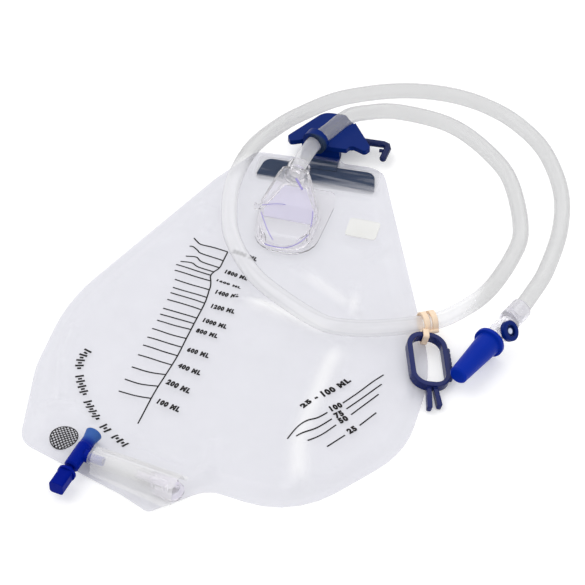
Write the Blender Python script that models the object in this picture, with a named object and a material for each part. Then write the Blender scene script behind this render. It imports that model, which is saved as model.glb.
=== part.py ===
"""Urine drainage bag, lying flat on its back with its drain tube looped round it.

Metres. +X runs across the bag, +Y towards the hanger, +Z up from the table.
The origin is under the middle of the bag, hanger and tap, on the table.
"""

import math

import bmesh
import bpy
from mathutils import Matrix, Vector

# Clearances
GAP = 0.0003
TUBE_FIT = 0.0005
SLIDE_FIT = 0.0003

# Bag films
FILM = 0.0004
BAG_HALF_WIDTH = 0.1097
HIP_Y = -0.022
BELLY_Y = -0.078
RIGHT_FOOT = (0.0620, -0.1470)
NOTCH = (0.0120, -0.1405)
BAG_TIP = (-0.0145, -0.1645)
SLEEVE_CORNER = (-0.0990, -0.1345)
SLEEVE_EDGE = (-0.0330, -0.1560)
WELD_WIDTH = 0.0025
SHOULDER_WIDTH = 0.0035

# Hanger plate, welded between the films and leaning a little to the left
HANGER_X = 0.0032
HANGER_Y = 0.1219
HANGER_LEAN = math.radians(3.3)
BAR_WIDTH = 0.0752
BAR_TOP_WIDTH = 0.0690
BAR_HEIGHT = 0.0176
BAR_PANEL = 0.0018
BAR_RIB = 0.0025
RIB_HEIGHT = 0.0052
TOP_MARGIN = 0.0066
NECK_X = -0.0015
NECK_WIDTH = 0.0245
HEAD_X = 0.0031
HEAD_HALF_SPAN = 0.0265
HEAD_CROWN = 0.0472
HEAD_TOP = 0.0132
HEAD_DEPTH = 0.0034
HEAD_SKIN = 0.0018
HEAD_WALL = 0.0020
ARCH_WALL = 0.0024
ARCH_LENGTH = 0.0055

# Bed hook on its hinge under the head
HINGE_X = 0.0145
HINGE_Y = 0.0275
HINGE_Z = 0.0065
BARREL_RADIUS = 0.0030
BARREL_LENGTH = 0.0080
TRUNNION_RADIUS = 0.0015
LUG_THICKNESS = 0.0021
HOOK_ROD = 0.0023
HOOK_REACH = 0.0390
HOOK_TOP = 0.0321
HOOK_END = 0.0168

# Drip chamber
BASE_THICKNESS = 0.0011
CHAMBER_WALL = 0.0012
CHAMBER_LEDGE = 0.0035
CHAMBER_RIM = 0.0010
HOOD_HEIGHT = 0.0167
HOOD_SLOPE = 0.0017
CUP_HEIGHT = 0.0079
COLLAR_WALL = 0.0016
COLLAR_LENGTH = 0.0115
LUMEN_RADIUS = 0.0035
FLAP_THICKNESS = 0.0005
FLAP_END_Y = 0.0730

# Vent patch
VENT_X = 0.0430
VENT_Y = 0.0795
VENT_WIDTH = 0.0190
VENT_HEIGHT = 0.0155
VENT_THICKNESS = 0.0008
VENT_HOLE = 0.0040

# Outlet: tap, short hose and port, in a frame that leans with the hose
OUTLET_X = -0.0605
OUTLET_Y = -0.1415
OUTLET_Z = 0.0092
OUTLET_LEAN = math.radians(-9.0)
HOSE_RADIUS = 0.00425
HOSE_BORE = 0.0029
HOSE_START = 0.0062
HOSE_END = 0.0440
SPIGOT_BORE = 0.0017
SPIGOT_LENGTH = 0.0085
TAP_TOP = 0.0160
TAP_BOTTOM = -0.0110
TAP_BODY_RADIUS = 0.0043
TAP_SPOUT_RADIUS = 0.0039
TAP_MOUTH_RADIUS = 0.0048
TAP_WALL = 0.0014
TAP_BORE = 0.0026
STEM_RADIUS = 0.0016
PISTON_TOP = 0.0020
PISTON_BOTTOM = -0.0045
TAP_CAP = 0.0015
KNOB_FLANGE = 0.0053
KNOB_FLANGE_TOP = -0.0145
KNOB_WIDTH = 0.0082
KNOB_END = -0.0276
SEAL_RADIUS = 0.0003
PORT_LENGTH = 0.0160
SLEEVE_LEFT = 0.0085
SLEEVE_RIGHT = 0.0600

# Drain tube
TUBE_RADIUS = 0.005
TUBE_STEP = 0.0148
TUBE_ROUTE = [
    (-0.0062, 0.1085, 0.0140),
    (-0.0059, 0.1213, 0.0142),
    (-0.0021, 0.1379, 0.0155),
    (0.0035, 0.1482, 0.0164),
    (0.0111, 0.1637, 0.0168),
    (0.0197, 0.1756, 0.0125),
    (0.0362, 0.1887, 0.0066),
    (0.0655, 0.1886, 0.0052),
    (0.0871, 0.1789, 0.0052),
    (0.1106, 0.1584, 0.0052),
    (0.1229, 0.1392, 0.0052),
    (0.1341, 0.1078, 0.0052),
    (0.1359, 0.0855, 0.0052),
    (0.1276, 0.0478, 0.0052),
    (0.1129, 0.0220, 0.0066),
    (0.0984, 0.0071, 0.0091),
    (0.0717, -0.0047, 0.0093),
    (0.0548, -0.0086, 0.0093),
    (0.0411, -0.0082, 0.0093),
    (0.0173, 0.0028, 0.0093),
    (-0.0083, 0.0199, 0.0093),
    (-0.0289, 0.0459, 0.0093),
    (-0.0390, 0.0734, 0.0093),
    (-0.0429, 0.0997, 0.0093),
    (-0.0405, 0.1285, 0.0090),
    (-0.0307, 0.1572, 0.0058),
    (-0.0191, 0.1745, 0.0052),
    (-0.0038, 0.1911, 0.0052),
    (0.0132, 0.2020, 0.0052),
    (0.0310, 0.2100, 0.0052),
    (0.0496, 0.2146, 0.0052),
    (0.0691, 0.2154, 0.0052),
    (0.0896, 0.2113, 0.0052),
    (0.1113, 0.2006, 0.0052),
    (0.1340, 0.1790, 0.0052),
    (0.1513, 0.1452, 0.0052),
    (0.1579, 0.1098, 0.0052),
    (0.1568, 0.0718, 0.0062),
    (0.1530, 0.0510, 0.0070),
    (0.1492, 0.0356, 0.0076),
    (0.1452, 0.0238, 0.0083),
]

# Sampling connector and its cap, in a frame that starts where the tube ends
CONNECTOR_TURN = math.radians(18.5)
CONNECTOR_RISE = math.radians(4.3)
SOCKET_DEPTH = 0.0120
SOCKET_WALL = 0.0011
CONNECTOR_BORE = 0.0020
NECK_RADIUS = 0.0044
HUB_RADIUS = 0.0060
HUB_START = 0.0220
HUB_END = 0.0326
CONNECTOR_FLANGE = 0.0074
TAPER_START = 0.0350
TAPER_LENGTH = 0.0320
TAPER_ROOT = 0.0044
TAPER_TIP = 0.0030
PORT_TILT = math.radians(50)
PORT_RISE = 0.0082
PORT_RING_RADIUS = 0.0061
PORT_RING_HEIGHT = 0.0034
SEPTUM_RADIUS = 0.0031
CAP_FLANGE_RADIUS = 0.0092
CAP_FLANGE_THICKNESS = 0.0022
CAP_LENGTH = 0.0365
CAP_ROOT_RADIUS = 0.0074
CAP_TIP_RADIUS = 0.0054
CAP_WALL = 0.0013

# Rubber band and sheet clip
BAND_WIDTH = 0.0034
BAND_THICKNESS = 0.0012
BAND_SPACING = 0.0050
BAND_FIT = 0.0005
BAND_LOOP_X = -0.0002
KNOT_RADIUS = 0.0013
CLIP_X = 0.1067
CLIP_Y = -0.0194
CLIP_Z = 0.0063
CLIP_TURN = math.radians(21)
CLIP_TILT = math.radians(13)
CLIP_PITCH = math.radians(5.4)
CLIP_HEIGHT = 0.0050
CLIP_STRAP = 0.0030
CLIP_LENGTH = 0.0392
CLIP_WIDTH = 0.0238
JAW_LENGTH = 0.0150
JAW_HEIGHT = 0.0036

# Heights that follow from the stack of films and plate
PLATE_Z = FILM + GAP
WELD_Z = FILM + GAP
FRONT_Z = PLATE_Z + BAR_RIB + GAP
FILM_TOP = FRONT_Z + FILM
SEAT_Z = FILM_TOP + GAP


def clear_scene():
    for item in list(bpy.data.objects):
        bpy.data.objects.remove(item, do_unlink=True)


def finish(name, colour, roughness, clear=0.0):
    """A Principled material, with clear as its transmission."""
    made = bpy.data.materials.new(name)
    made.use_nodes = True
    shader = made.node_tree.nodes["Principled BSDF"]
    shader.inputs["Base Color"].default_value = (*colour, 1)
    shader.inputs["Roughness"].default_value = roughness
    shader.inputs["Transmission Weight"].default_value = clear
    made.diffuse_color = (*colour, 1)
    return made


def rounded(corners, steps=5):
    """The outline of a polygon whose corners are (x, y, radius), each an arc of that radius."""
    outline = []
    for index, (x, y, radius) in enumerate(corners):
        corner = Vector((x, y))
        back = (Vector(corners[index - 1][:2]) - corner).normalized()
        ahead = (Vector(corners[(index + 1) % len(corners)][:2]) - corner).normalized()
        if radius <= 0:
            outline.append(corner)
            continue
        half = back.angle(ahead) / 2
        centre = corner + (back + ahead).normalized() * radius / math.sin(half)
        start = corner + back * radius / math.tan(half) - centre
        turn = math.copysign(math.pi - 2 * half, back.cross(ahead) * -1)
        for step in range(steps + 1):
            outline.append(centre + Matrix.Rotation(turn * step / steps, 2) @ start)
    return outline


def offset(corners, by):
    """The same polygon with its sides moved out by a distance, or in where it is negative."""
    moved = []
    for index, (x, y, radius) in enumerate(corners):
        corner = Vector((x, y))
        arriving = (corner - Vector(corners[index - 1][:2])).normalized()
        leaving = (Vector(corners[(index + 1) % len(corners)][:2]) - corner).normalized()
        out_a = Vector((arriving.y, -arriving.x))
        out_b = Vector((leaving.y, -leaving.x))
        place = corner + (out_a + out_b) * by / (1 + out_a.dot(out_b))
        bulge = by if arriving.cross(leaving) > 0 else -by
        moved.append((place.x, place.y, max(radius + bulge, GAP) if radius else 0))
    return moved


def rectangle(x, y, width, height, radius=0.0):
    corners = []
    for side_x, side_y in ((-1, -1), (1, -1), (1, 1), (-1, 1)):
        corners.append((x + side_x * width / 2, y + side_y * height / 2, radius))
    return corners


def prism(outline, low, high):
    """A solid of one outline between two heights."""
    bm = bmesh.new()
    base = [bm.verts.new((point[0], point[1], low)) for point in outline]
    bottom = bm.faces.new(base)
    raised = bmesh.ops.extrude_face_region(bm, geom=[bottom])["geom"]
    top = [item for item in raised if isinstance(item, bmesh.types.BMVert)]
    bmesh.ops.translate(bm, verts=top, vec=(0, 0, high - low))
    bmesh.ops.recalc_face_normals(bm, faces=bm.faces)
    return bm


def turned(profile, segments=32, hollow=False):
    """A solid turned about Z from (radius, height) points. A hollow one never meets the axis."""
    bm = bmesh.new()
    points = [bm.verts.new((radius, 0, height)) for radius, height in profile]
    edges = [bm.edges.new(pair) for pair in zip(points, points[1:])]
    if hollow:
        edges.append(bm.edges.new((points[-1], points[0])))
    bmesh.ops.spin(
        bm,
        geom=points + edges,
        cent=(0, 0, 0),
        axis=(0, 0, 1),
        angle=2 * math.pi,
        steps=segments,
        use_merge=True,
    )
    bmesh.ops.remove_doubles(bm, verts=bm.verts, dist=0.000005)
    bmesh.ops.recalc_face_normals(bm, faces=bm.faces)
    return bm


def rod(radius, low, high, segments=16):
    """A round bar about Z between two heights."""
    return turned([(0, low), (radius, low), (radius, high), (0, high)], segments)


def lofted(sections):
    """A solid through closed sections with the same number of points."""
    bm = bmesh.new()
    loops = [[bm.verts.new(point) for point in section] for section in sections]
    for first, second in zip(loops, loops[1:]):
        for index in range(len(first)):
            following = (index + 1) % len(first)
            bm.faces.new((first[index], first[following], second[following], second[index]))
    bm.faces.new(loops[0])
    bm.faces.new(loops[-1])
    bmesh.ops.recalc_face_normals(bm, faces=bm.faces)
    return bm


def shell(rings, thickness):
    """A sheet over nested rings of points, from its edge to a flat middle."""
    bm = bmesh.new()
    under = [[bm.verts.new(point) for point in ring] for ring in rings]
    lift = Vector((0, 0, thickness))
    over = [[bm.verts.new(point + lift) for point in ring] for ring in rings]
    count = len(rings[0])
    for index in range(count):
        after = (index + 1) % count
        bm.faces.new((under[0][index], under[0][after], over[0][after], over[0][index]))
        for layer in (under, over):
            for outer, inner in zip(layer, layer[1:]):
                bm.faces.new((outer[index], outer[after], inner[after], inner[index]))
    bm.faces.new(under[-1])
    bm.faces.new(over[-1])
    bmesh.ops.recalc_face_normals(bm, faces=bm.faces)
    return bm


def add(name, bm, material=None, parent=None, matrix=None):
    """Makes an object of a mesh. Without a material it is a hidden tool for a Boolean."""
    data = bpy.data.meshes.new(name)
    if matrix is not None:
        bm.transform(matrix)
    bm.to_mesh(data)
    bm.free()
    made = bpy.data.objects.new(name, data)
    bpy.context.scene.collection.objects.link(made)
    made.parent = parent
    if material is None:
        made.hide_render = True
        made.display_type = "WIRE"
        return made
    data.materials.append(material)
    data.shade_smooth()
    data.set_sharp_from_angle(angle=math.radians(35))
    return made


def combine(target, operation, *tools):
    for tool in tools:
        step = target.modifiers.new(tool.name, "BOOLEAN")
        step.operation = operation
        step.solver = "EXACT"
        step.object = tool


def frame(name, x, y, z, turn=0.0, tilt=0.0, pitch=0.0):
    """An empty that carries the pieces of one group."""
    made = bpy.data.objects.new(name, None)
    made.location = (x, y, z)
    made.rotation_euler = (pitch, tilt, turn)
    bpy.context.scene.collection.objects.link(made)
    return made


def along(start, end):
    """The matrix that stands a turned piece's Z on the line from start to end."""
    direction = (Vector(end) - Vector(start)).normalized()
    return Matrix.Translation(start) @ direction.to_track_quat("Z", "Y").to_matrix().to_4x4()


def smooth_route(points, step):
    """Points a step apart along a smooth curve through the route."""
    points = [Vector(point) for point in points]
    ends = [2 * points[0] - points[1]] + points + [2 * points[-1] - points[-2]]
    fine = []
    parts = 12
    for p0, p1, p2, p3 in zip(ends, ends[1:], ends[2:], ends[3:]):
        for part in range(parts):
            t = part / parts
            fine.append(
                p1
                + (p2 - p0) * t / 2
                + (p0 * 2 - p1 * 5 + p2 * 4 - p3) * t * t / 2
                + (p1 * 3 - p0 - p2 * 3 + p3) * t**3 / 2
            )
    fine.append(points[-1])
    lengths = [0.0]
    for before, after in zip(fine, fine[1:]):
        lengths.append(lengths[-1] + (after - before).length)
    count = max(round(lengths[-1] / step), 1)
    route = []
    at = 0
    for index in range(count + 1):
        wanted = lengths[-1] * index / count
        while at < len(fine) - 2 and lengths[at + 1] < wanted:
            at += 1
        share = (wanted - lengths[at]) / (lengths[at + 1] - lengths[at])
        route.append(fine[at].lerp(fine[at + 1], min(share, 1.0)))
    return route


def tube(name, points, radius, sides=2, material=None):
    """A round bar or hose along points, as a curve."""
    curve = bpy.data.curves.new(name, "CURVE")
    curve.dimensions = "3D"
    curve.bevel_depth = radius
    curve.bevel_resolution = sides
    curve.use_fill_caps = True
    spline = curve.splines.new("POLY")
    spline.points.add(len(points) - 1)
    for place, point in zip(spline.points, points):
        place.co = (*point, 1)
    made = bpy.data.objects.new(name, curve)
    bpy.context.scene.collection.objects.link(made)
    if material:
        curve.materials.append(material)
    return made


def tube_mesh(name, points, radius, sides=4):
    """The same bar as a closed mesh, for a Boolean."""
    guide = tube(name + "_guide", points, radius, sides)
    bpy.context.view_layer.update()
    data = bpy.data.meshes.new_from_object(guide)
    bpy.data.objects.remove(guide, do_unlink=True)
    bm = bmesh.new()
    bm.from_mesh(data)
    bmesh.ops.remove_doubles(bm, verts=bm.verts, dist=0.000005)
    bmesh.ops.recalc_face_normals(bm, faces=bm.faces)
    return bm


def hanger_point(x, y):
    """A point of the hanger's own frame, on the table plane."""
    point = Matrix.Rotation(HANGER_LEAN, 2) @ Vector((x, y))
    return HANGER_X + point.x, HANGER_Y + point.y


def bag_corners():
    """The bag's outline, counter-clockwise from the hanger's left corner."""
    top = BAR_HEIGHT / 2 + TOP_MARGIN
    tunnel = NECK_WIDTH / 2 + 2 * GAP
    ramp = tunnel + BAR_RIB
    left = hanger_point(-BAR_WIDTH / 2 - 0.0040, top)
    right = hanger_point(BAR_WIDTH / 2 + 0.0010, top)
    return [
        (*left, 0.008),
        (-0.0570, 0.1040, 0.060),
        (-BAG_HALF_WIDTH, HIP_Y, 0.120),
        (-BAG_HALF_WIDTH, BELLY_Y, 0.080),
        (*SLEEVE_CORNER, 0.014),
        (*SLEEVE_EDGE, 0.030),
        (*BAG_TIP, 0.004),
        (*NOTCH, 0.018),
        (*RIGHT_FOOT, 0.050),
        (BAG_HALF_WIDTH, BELLY_Y - 0.008, 0.060),
        (BAG_HALF_WIDTH, HIP_Y, 0.110),
        (*right, 0.014),
        (*hanger_point(NECK_X + ramp, top), 0),
        (*hanger_point(NECK_X + tunnel, top), 0),
        (*hanger_point(NECK_X - tunnel, top), 0),
        (*hanger_point(NECK_X - ramp, top), 0),
    ]


def front_rings():
    """Rings of the front film: its weld, its rise to the flat middle, and a tunnel over the neck."""
    corners = bag_corners()
    raised = {corner[:2] for corner in corners[-3:-1]}
    rings = []
    for inset, height in ((0, WELD_Z), (WELD_WIDTH, WELD_Z), (WELD_WIDTH + SHOULDER_WIDTH, FRONT_Z)):
        ring = []
        moved = offset(corners, -inset)
        for index, (x, y, radius) in enumerate(moved):
            level = FRONT_Z if corners[index][:2] in raised else height
            arc = 6 if radius > 0 else 1
            ring += [level] * arc
        rings.append([Vector((p.x, p.y, z)) for p, z in zip(rounded(moved), ring)])
    return rings


def make_films(clear):
    add("back_film", prism(rounded(bag_corners()), 0, FILM), clear)
    front = add("front_film", shell(front_rings(), FILM), clear)
    window = prism(rounded(offset(body_corners(), GAP - CHAMBER_LEDGE)), WELD_Z, SEAT_Z)
    outlet = outlet_frame()
    port_hole = rod(SPIGOT_BORE * 2, -OUTLET_Z, 0)
    vent_hole = rod(VENT_HOLE, WELD_Z, SEAT_Z)
    over_port = Matrix.Translation((port_centre(), 0, 0))
    combine(
        front,
        "DIFFERENCE",
        add("tool_chamber_window", window),
        add("tool_port_hole", port_hole, parent=outlet, matrix=over_port),
        add("tool_vent_hole", vent_hole, matrix=Matrix.Translation((VENT_X, VENT_Y, 0))),
    )


def head_corners():
    """The anchor-shaped head: a crown, two swept wings and a waist that runs into the neck."""
    half = [
        (0.0120, 0.0152, 0.001),
        (0.0140, 0.0198, 0.003),
        (HEAD_HALF_SPAN - 0.0030, 0.0156, 0.002),
        (HEAD_HALF_SPAN, 0.0200, 0.0025),
        (0.0085, HEAD_CROWN, 0.009),
    ]
    right = [(HEAD_X + x, y, radius) for x, y, radius in half]
    left = [(HEAD_X - x, y, radius) for x, y, radius in reversed(half)]
    return right + left


def make_hanger(navy, route):
    """The moulded plate: panel, rib, neck, hollow-winged head, tube saddle and arch, hinge lugs."""
    group = frame("hanger_frame", HANGER_X, HANGER_Y, 0, HANGER_LEAN)
    panel = [
        (-BAR_WIDTH / 2, -BAR_HEIGHT / 2, 0.003),
        (BAR_WIDTH / 2, -BAR_HEIGHT / 2, 0.003),
        (BAR_TOP_WIDTH / 2, BAR_HEIGHT / 2, 0.006),
        (-BAR_TOP_WIDTH / 2, BAR_HEIGHT / 2, 0.006),
    ]
    plate = add("hanger_plate", prism(rounded(panel), PLATE_Z, PLATE_Z + BAR_PANEL), navy, group)
    rib = rectangle(0, (RIB_HEIGHT - BAR_HEIGHT) / 2 + GAP, BAR_WIDTH - 0.003, RIB_HEIGHT, 0.0022)
    neck_start = BAR_HEIGHT / 2 - 0.004
    neck_end = BAR_HEIGHT / 2 + TOP_MARGIN + 0.007
    neck = rectangle(NECK_X, (neck_start + neck_end) / 2, NECK_WIDTH, neck_end - neck_start, 0.0004)
    head_low = HEAD_TOP - HEAD_DEPTH
    riser_start = BAR_HEIGHT / 2 + TOP_MARGIN + 0.0016
    riser = [
        (riser_start, PLATE_Z + GAP / 2, 0),
        (neck_end + 0.0010, PLATE_Z + GAP / 2, 0.0010),
        (neck_end + 0.0025, head_low + HEAD_SKIN, 0),
        (riser_start, head_low + HEAD_SKIN, 0),
    ]
    stand = Matrix.Rotation(math.radians(90), 4, "X")
    cross = Matrix.Rotation(math.radians(90), 4, "Z") @ stand
    lift = Matrix.Translation((NECK_X, 0, 0))
    riser_solid = prism(rounded(riser), GAP - NECK_WIDTH / 2, NECK_WIDTH / 2 - GAP)
    arch_at = Vector(TUBE_ROUTE[2])
    arch_way = (Vector(TUBE_ROUTE[3]) - Vector(TUBE_ROUTE[1])).normalized() * ARCH_LENGTH / 2
    arch_radius = TUBE_RADIUS + TUBE_FIT + ARCH_WALL
    arch = rod(arch_radius, 0, ARCH_LENGTH, 32)
    tools = [
        add("tool_rib", prism(rounded(rib), PLATE_Z + GAP / 2, PLATE_Z + BAR_RIB), parent=group),
        add("tool_neck", prism(rounded(neck), PLATE_Z, PLATE_Z + BAR_RIB), parent=group),
        add("tool_riser", riser_solid, parent=group, matrix=lift @ cross),
        add("tool_head", prism(rounded(head_corners()), head_low, HEAD_TOP), parent=group),
        add("tool_arch", arch, matrix=along(arch_at - arch_way, arch_at + arch_way)),
    ]
    combine(plate, "UNION", *tools)
    spine = [
        (HEAD_X - 0.0125, 0.0100, 0),
        (HEAD_X + 0.0050, 0.0100, 0),
        (HEAD_X + 0.0065, 0.0350, 0),
        (HEAD_X + 0.0120, 0.0500, 0),
        (HEAD_X - 0.0125, 0.0500, 0),
    ]
    hollow_plan = rounded(offset(head_corners(), -HEAD_WALL))
    hollow = prism(hollow_plan, head_low - GAP, HEAD_TOP - HEAD_SKIN)
    wings = add("tool_wing_hollow", hollow, parent=group)
    combine(wings, "DIFFERENCE", add("tool_spine", prism(rounded(spine), 0, HEAD_TOP), parent=group))
    bore = tube_mesh("tool_tube_bore", route[:10], TUBE_RADIUS + TUBE_FIT)
    combine(plate, "DIFFERENCE", wings, add("tool_tube_bore", bore))
    half = BARREL_LENGTH / 2
    for side in (-1, 1):
        middle = HINGE_Y + half + side * (half + SLIDE_FIT + LUG_THICKNESS / 2)
        lug = rectangle(HINGE_X, middle, 2 * BARREL_RADIUS - GAP, LUG_THICKNESS, 0)
        solid = prism(rounded(lug), HINGE_Z - BARREL_RADIUS + GAP, HEAD_TOP - HEAD_SKIN / 2)
        combine(plate, "UNION", add(f"tool_lug_{side + 2}", solid, parent=group))
    reach = half + SLIDE_FIT + LUG_THICKNESS
    pin_hole = rod(TRUNNION_RADIUS + SLIDE_FIT, -reach - GAP, reach + GAP)
    pivot = Matrix.Translation((HINGE_X, HINGE_Y + half, HINGE_Z)) @ stand
    combine(plate, "DIFFERENCE", add("tool_pin_hole", pin_hole, parent=group, matrix=pivot))
    return group


def make_hook(dark_navy, group):
    """The bed hook: a rod bent down at its corner, on a barrel whose ends turn in the head's lugs."""
    hinge = frame("bed_hook_hinge", HINGE_X, HINGE_Y + BARREL_LENGTH / 2, HINGE_Z)
    hinge.parent = group
    half = BARREL_LENGTH / 2
    end = half + SLIDE_FIT + LUG_THICKNESS
    profile = [
        (0, -end),
        (TRUNNION_RADIUS, -end),
        (TRUNNION_RADIUS, -half),
        (BARREL_RADIUS, -half),
        (BARREL_RADIUS, half),
        (TRUNNION_RADIUS, half),
        (TRUNNION_RADIUS, end),
        (0, end),
    ]
    stand = Matrix.Rotation(math.radians(90), 4, "X")
    hook = add("bed_hook", turned(profile, 24), dark_navy, hinge, stand)
    top = HOOK_TOP - HINGE_Y - half
    reach = HOOK_REACH - HINGE_X
    bend = 0.0035
    corner = [
        Vector((0, top, 0)),
        Vector((reach - bend, top, 0)),
        Vector((reach - bend * 0.29, top - bend * 0.29, 0)),
        Vector((reach - 0.0002, top - bend, 0)),
        Vector((reach - 0.0014, HOOK_END - HINGE_Y - half + HOOK_ROD, 0)),
    ]
    bar = tube_mesh("tool_hook_rod", corner, HOOK_ROD, 3)
    peg = rod(0.0012, 0, 0.0045, 12)
    turn = Matrix.Rotation(math.radians(-90), 4, "Y")
    at = Matrix.Translation((reach - 0.0005, top - 0.0062, 0))
    tip = bmesh.new()
    bmesh.ops.create_uvsphere(tip, u_segments=12, v_segments=8, radius=HOOK_ROD * 0.98)
    combine(
        hook,
        "UNION",
        add("tool_hook_rod", bar, parent=hinge),
        add("tool_hook_peg", peg, parent=hinge, matrix=at @ turn),
        add("tool_hook_tip", tip, parent=hinge, matrix=Matrix.Translation(corner[-1])),
    )


def body_corners():
    """The drip chamber's plan: a round-bottomed cup under a hood that narrows to the inlet."""
    return [
        (-0.0140, 0.0495, 0.013),
        (0.0145, 0.0495, 0.013),
        (0.0150, 0.0800, 0.004),
        (0.0020, 0.1050, 0.003),
        (-0.0135, 0.1050, 0.003),
        (-0.0205, 0.0790, 0.002),
    ]


def base_corners():
    return [
        (-0.0170, 0.0465, 0.016),
        (0.0190, 0.0465, 0.016),
        (0.0215, 0.0920, 0.006),
        (0.0190, 0.1060, 0.004),
        (-0.0150, 0.1060, 0.004),
        (-0.0225, 0.0800, 0.004),
    ]


def side_corners(inset, floor):
    """The chamber from the side, as (y, z): a high hood that slopes down to a low cup."""
    base = SEAT_Z + BASE_THICKNESS + GAP
    return offset(
        [
            (0.0440, floor, 0),
            (0.1200, floor, 0),
            (0.1200, base + HOOD_HEIGHT - HOOD_SLOPE, 0),
            (0.0985, base + HOOD_HEIGHT - HOOD_SLOPE, 0.005),
            (0.0790, base + CUP_HEIGHT, 0.006),
            (0.0530, base + CUP_HEIGHT - 0.0010, 0.005),
        ],
        -inset,
    )


def across(outline, half_width):
    """A solid of a (y, z) outline, as wide as given to both sides of the bag's middle."""
    bm = prism(outline, -half_width, half_width)
    turn = Matrix(((0, 0, 1, 0), (1, 0, 0, 0), (0, 1, 0, 0), (0, 0, 0, 1)))
    bm.transform(turn)
    bmesh.ops.recalc_face_normals(bm, faces=bm.faces)
    return bm


def make_chamber(lavender, soft_clear, route):
    """Base frame on the film, the hood and cup in one moulding, and the reflux flap inside."""
    base_top = SEAT_Z + BASE_THICKNESS
    base = add("chamber_base", prism(rounded(base_corners()), SEAT_Z, base_top), lavender)
    window = prism(rounded(offset(body_corners(), -CHAMBER_LEDGE)), 0, base_top + GAP)
    combine(base, "DIFFERENCE", add("tool_base_window", window))

    low = base_top + GAP
    body = add("chamber_body", prism(rounded(body_corners()), low, low + HOOD_HEIGHT), lavender)
    hood_side = across(rounded(side_corners(0, low - 0.002)), 0.04)
    combine(body, "INTERSECT", add("tool_hood_side", hood_side))
    rim = prism(rounded(offset(body_corners(), 0.0016)), low, low + CHAMBER_RIM)
    fin = rectangle(-0.0215, 0.0784, 0.0062, 0.0012, 0)
    start = Vector(TUBE_ROUTE[0])
    way = (Vector(TUBE_ROUTE[1]) - start).normalized()
    collar_radius = TUBE_RADIUS + TUBE_FIT + COLLAR_WALL
    inner_end = start - way * COLLAR_LENGTH * 0.55
    collar = rod(collar_radius, 0, COLLAR_LENGTH, 32)
    combine(
        body,
        "UNION",
        add("tool_body_rim", rim),
        add("tool_fin", prism(rounded(fin), low + GAP, low + CUP_HEIGHT * 0.6)),
        add("tool_collar", collar, matrix=along(inner_end, start)),
    )
    cavity_plan = rounded(offset(body_corners(), -CHAMBER_WALL))
    cavity_top = low + HOOD_HEIGHT - HOOD_SLOPE - CHAMBER_WALL
    cavity = add("tool_cavity", prism(cavity_plan, low - GAP, cavity_top))
    cavity_side = across(rounded(side_corners(CHAMBER_WALL, low - 0.006)), 0.03)
    combine(cavity, "INTERSECT", add("tool_cavity_side", cavity_side))
    lumen_end = start - way * 0.012
    lumen = rod(LUMEN_RADIUS, 0, 0.013, 24)
    socket = [start - way * GAP, start, *route[1:6]]
    combine(
        body,
        "DIFFERENCE",
        cavity,
        add("tool_lumen", lumen, matrix=along(lumen_end, start)),
        add("tool_socket", tube_mesh("tool_socket", socket, TUBE_RADIUS + TUBE_FIT)),
    )

    flap_plan = rounded(offset(body_corners(), -CHAMBER_WALL - GAP))
    flap = add("reflux_flap", prism(flap_plan, low, low + FLAP_THICKNESS), soft_clear)
    keep = rectangle(0, FLAP_END_Y + 0.02, 0.06, 0.04, 0.003)
    combine(flap, "INTERSECT", add("tool_flap_side", prism(rounded(keep), 0, low + 0.01)))


def make_vent(white):
    patch = rectangle(VENT_X, VENT_Y, VENT_WIDTH, VENT_HEIGHT, 0.002)
    add("vent_filter", prism(rounded(patch), SEAT_Z, SEAT_Z + VENT_THICKNESS), white)


def outlet_frame():
    found = bpy.data.objects.get("outlet_frame")
    return found or frame("outlet_frame", OUTLET_X, OUTLET_Y, OUTLET_Z, OUTLET_LEAN)


def port_centre():
    """Where the port's barrel stands over its hole in the film, along the hose."""
    return HOSE_END + PORT_LENGTH * 0.6


def make_port(lavender, outlet):
    """The port: a boat-shaped foot welded on the film, a barrel and a spigot for the hose."""
    turn = Matrix.Rotation(math.radians(90), 4, "Y")
    start = HOSE_END - SPIGOT_LENGTH
    barrel = HOSE_RADIUS + 0.0003
    profile = [
        (0, start),
        (HOSE_BORE - GAP, start),
        (HOSE_BORE - GAP, HOSE_END + GAP),
        (barrel, HOSE_END + GAP),
        (barrel, HOSE_END + PORT_LENGTH - 0.002),
        (barrel - 0.002, HOSE_END + PORT_LENGTH),
        (0, HOSE_END + PORT_LENGTH),
    ]
    port = add("outlet_port", turned(profile, 28), lavender, outlet, turn)
    foot = rectangle(port_centre(), 0, PORT_LENGTH + 0.002, 2 * barrel + 0.004, 0.0055)
    foot_low = SEAT_Z - OUTLET_Z
    foot_solid = prism(rounded(foot), foot_low, foot_low + 0.0016)
    combine(port, "UNION", add("tool_port_foot", foot_solid, parent=outlet))
    bore = rod(SPIGOT_BORE, start - GAP, port_centre())
    down = rod(SPIGOT_BORE, -OUTLET_Z, GAP)
    drop_at = Matrix.Translation((port_centre() - 0.001, 0, 0))
    combine(
        port,
        "DIFFERENCE",
        add("tool_port_bore", bore, parent=outlet, matrix=turn),
        add("tool_port_drop", down, parent=outlet, matrix=drop_at),
    )


def make_hose(clear, outlet):
    profile = [
        (HOSE_BORE, HOSE_START),
        (HOSE_RADIUS, HOSE_START),
        (HOSE_RADIUS, HOSE_END),
        (HOSE_BORE, HOSE_END),
    ]
    turn = Matrix.Rotation(math.radians(90), 4, "Y")
    add("outlet_tube", turned(profile, 28, hollow=True), clear, outlet, turn)


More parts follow.
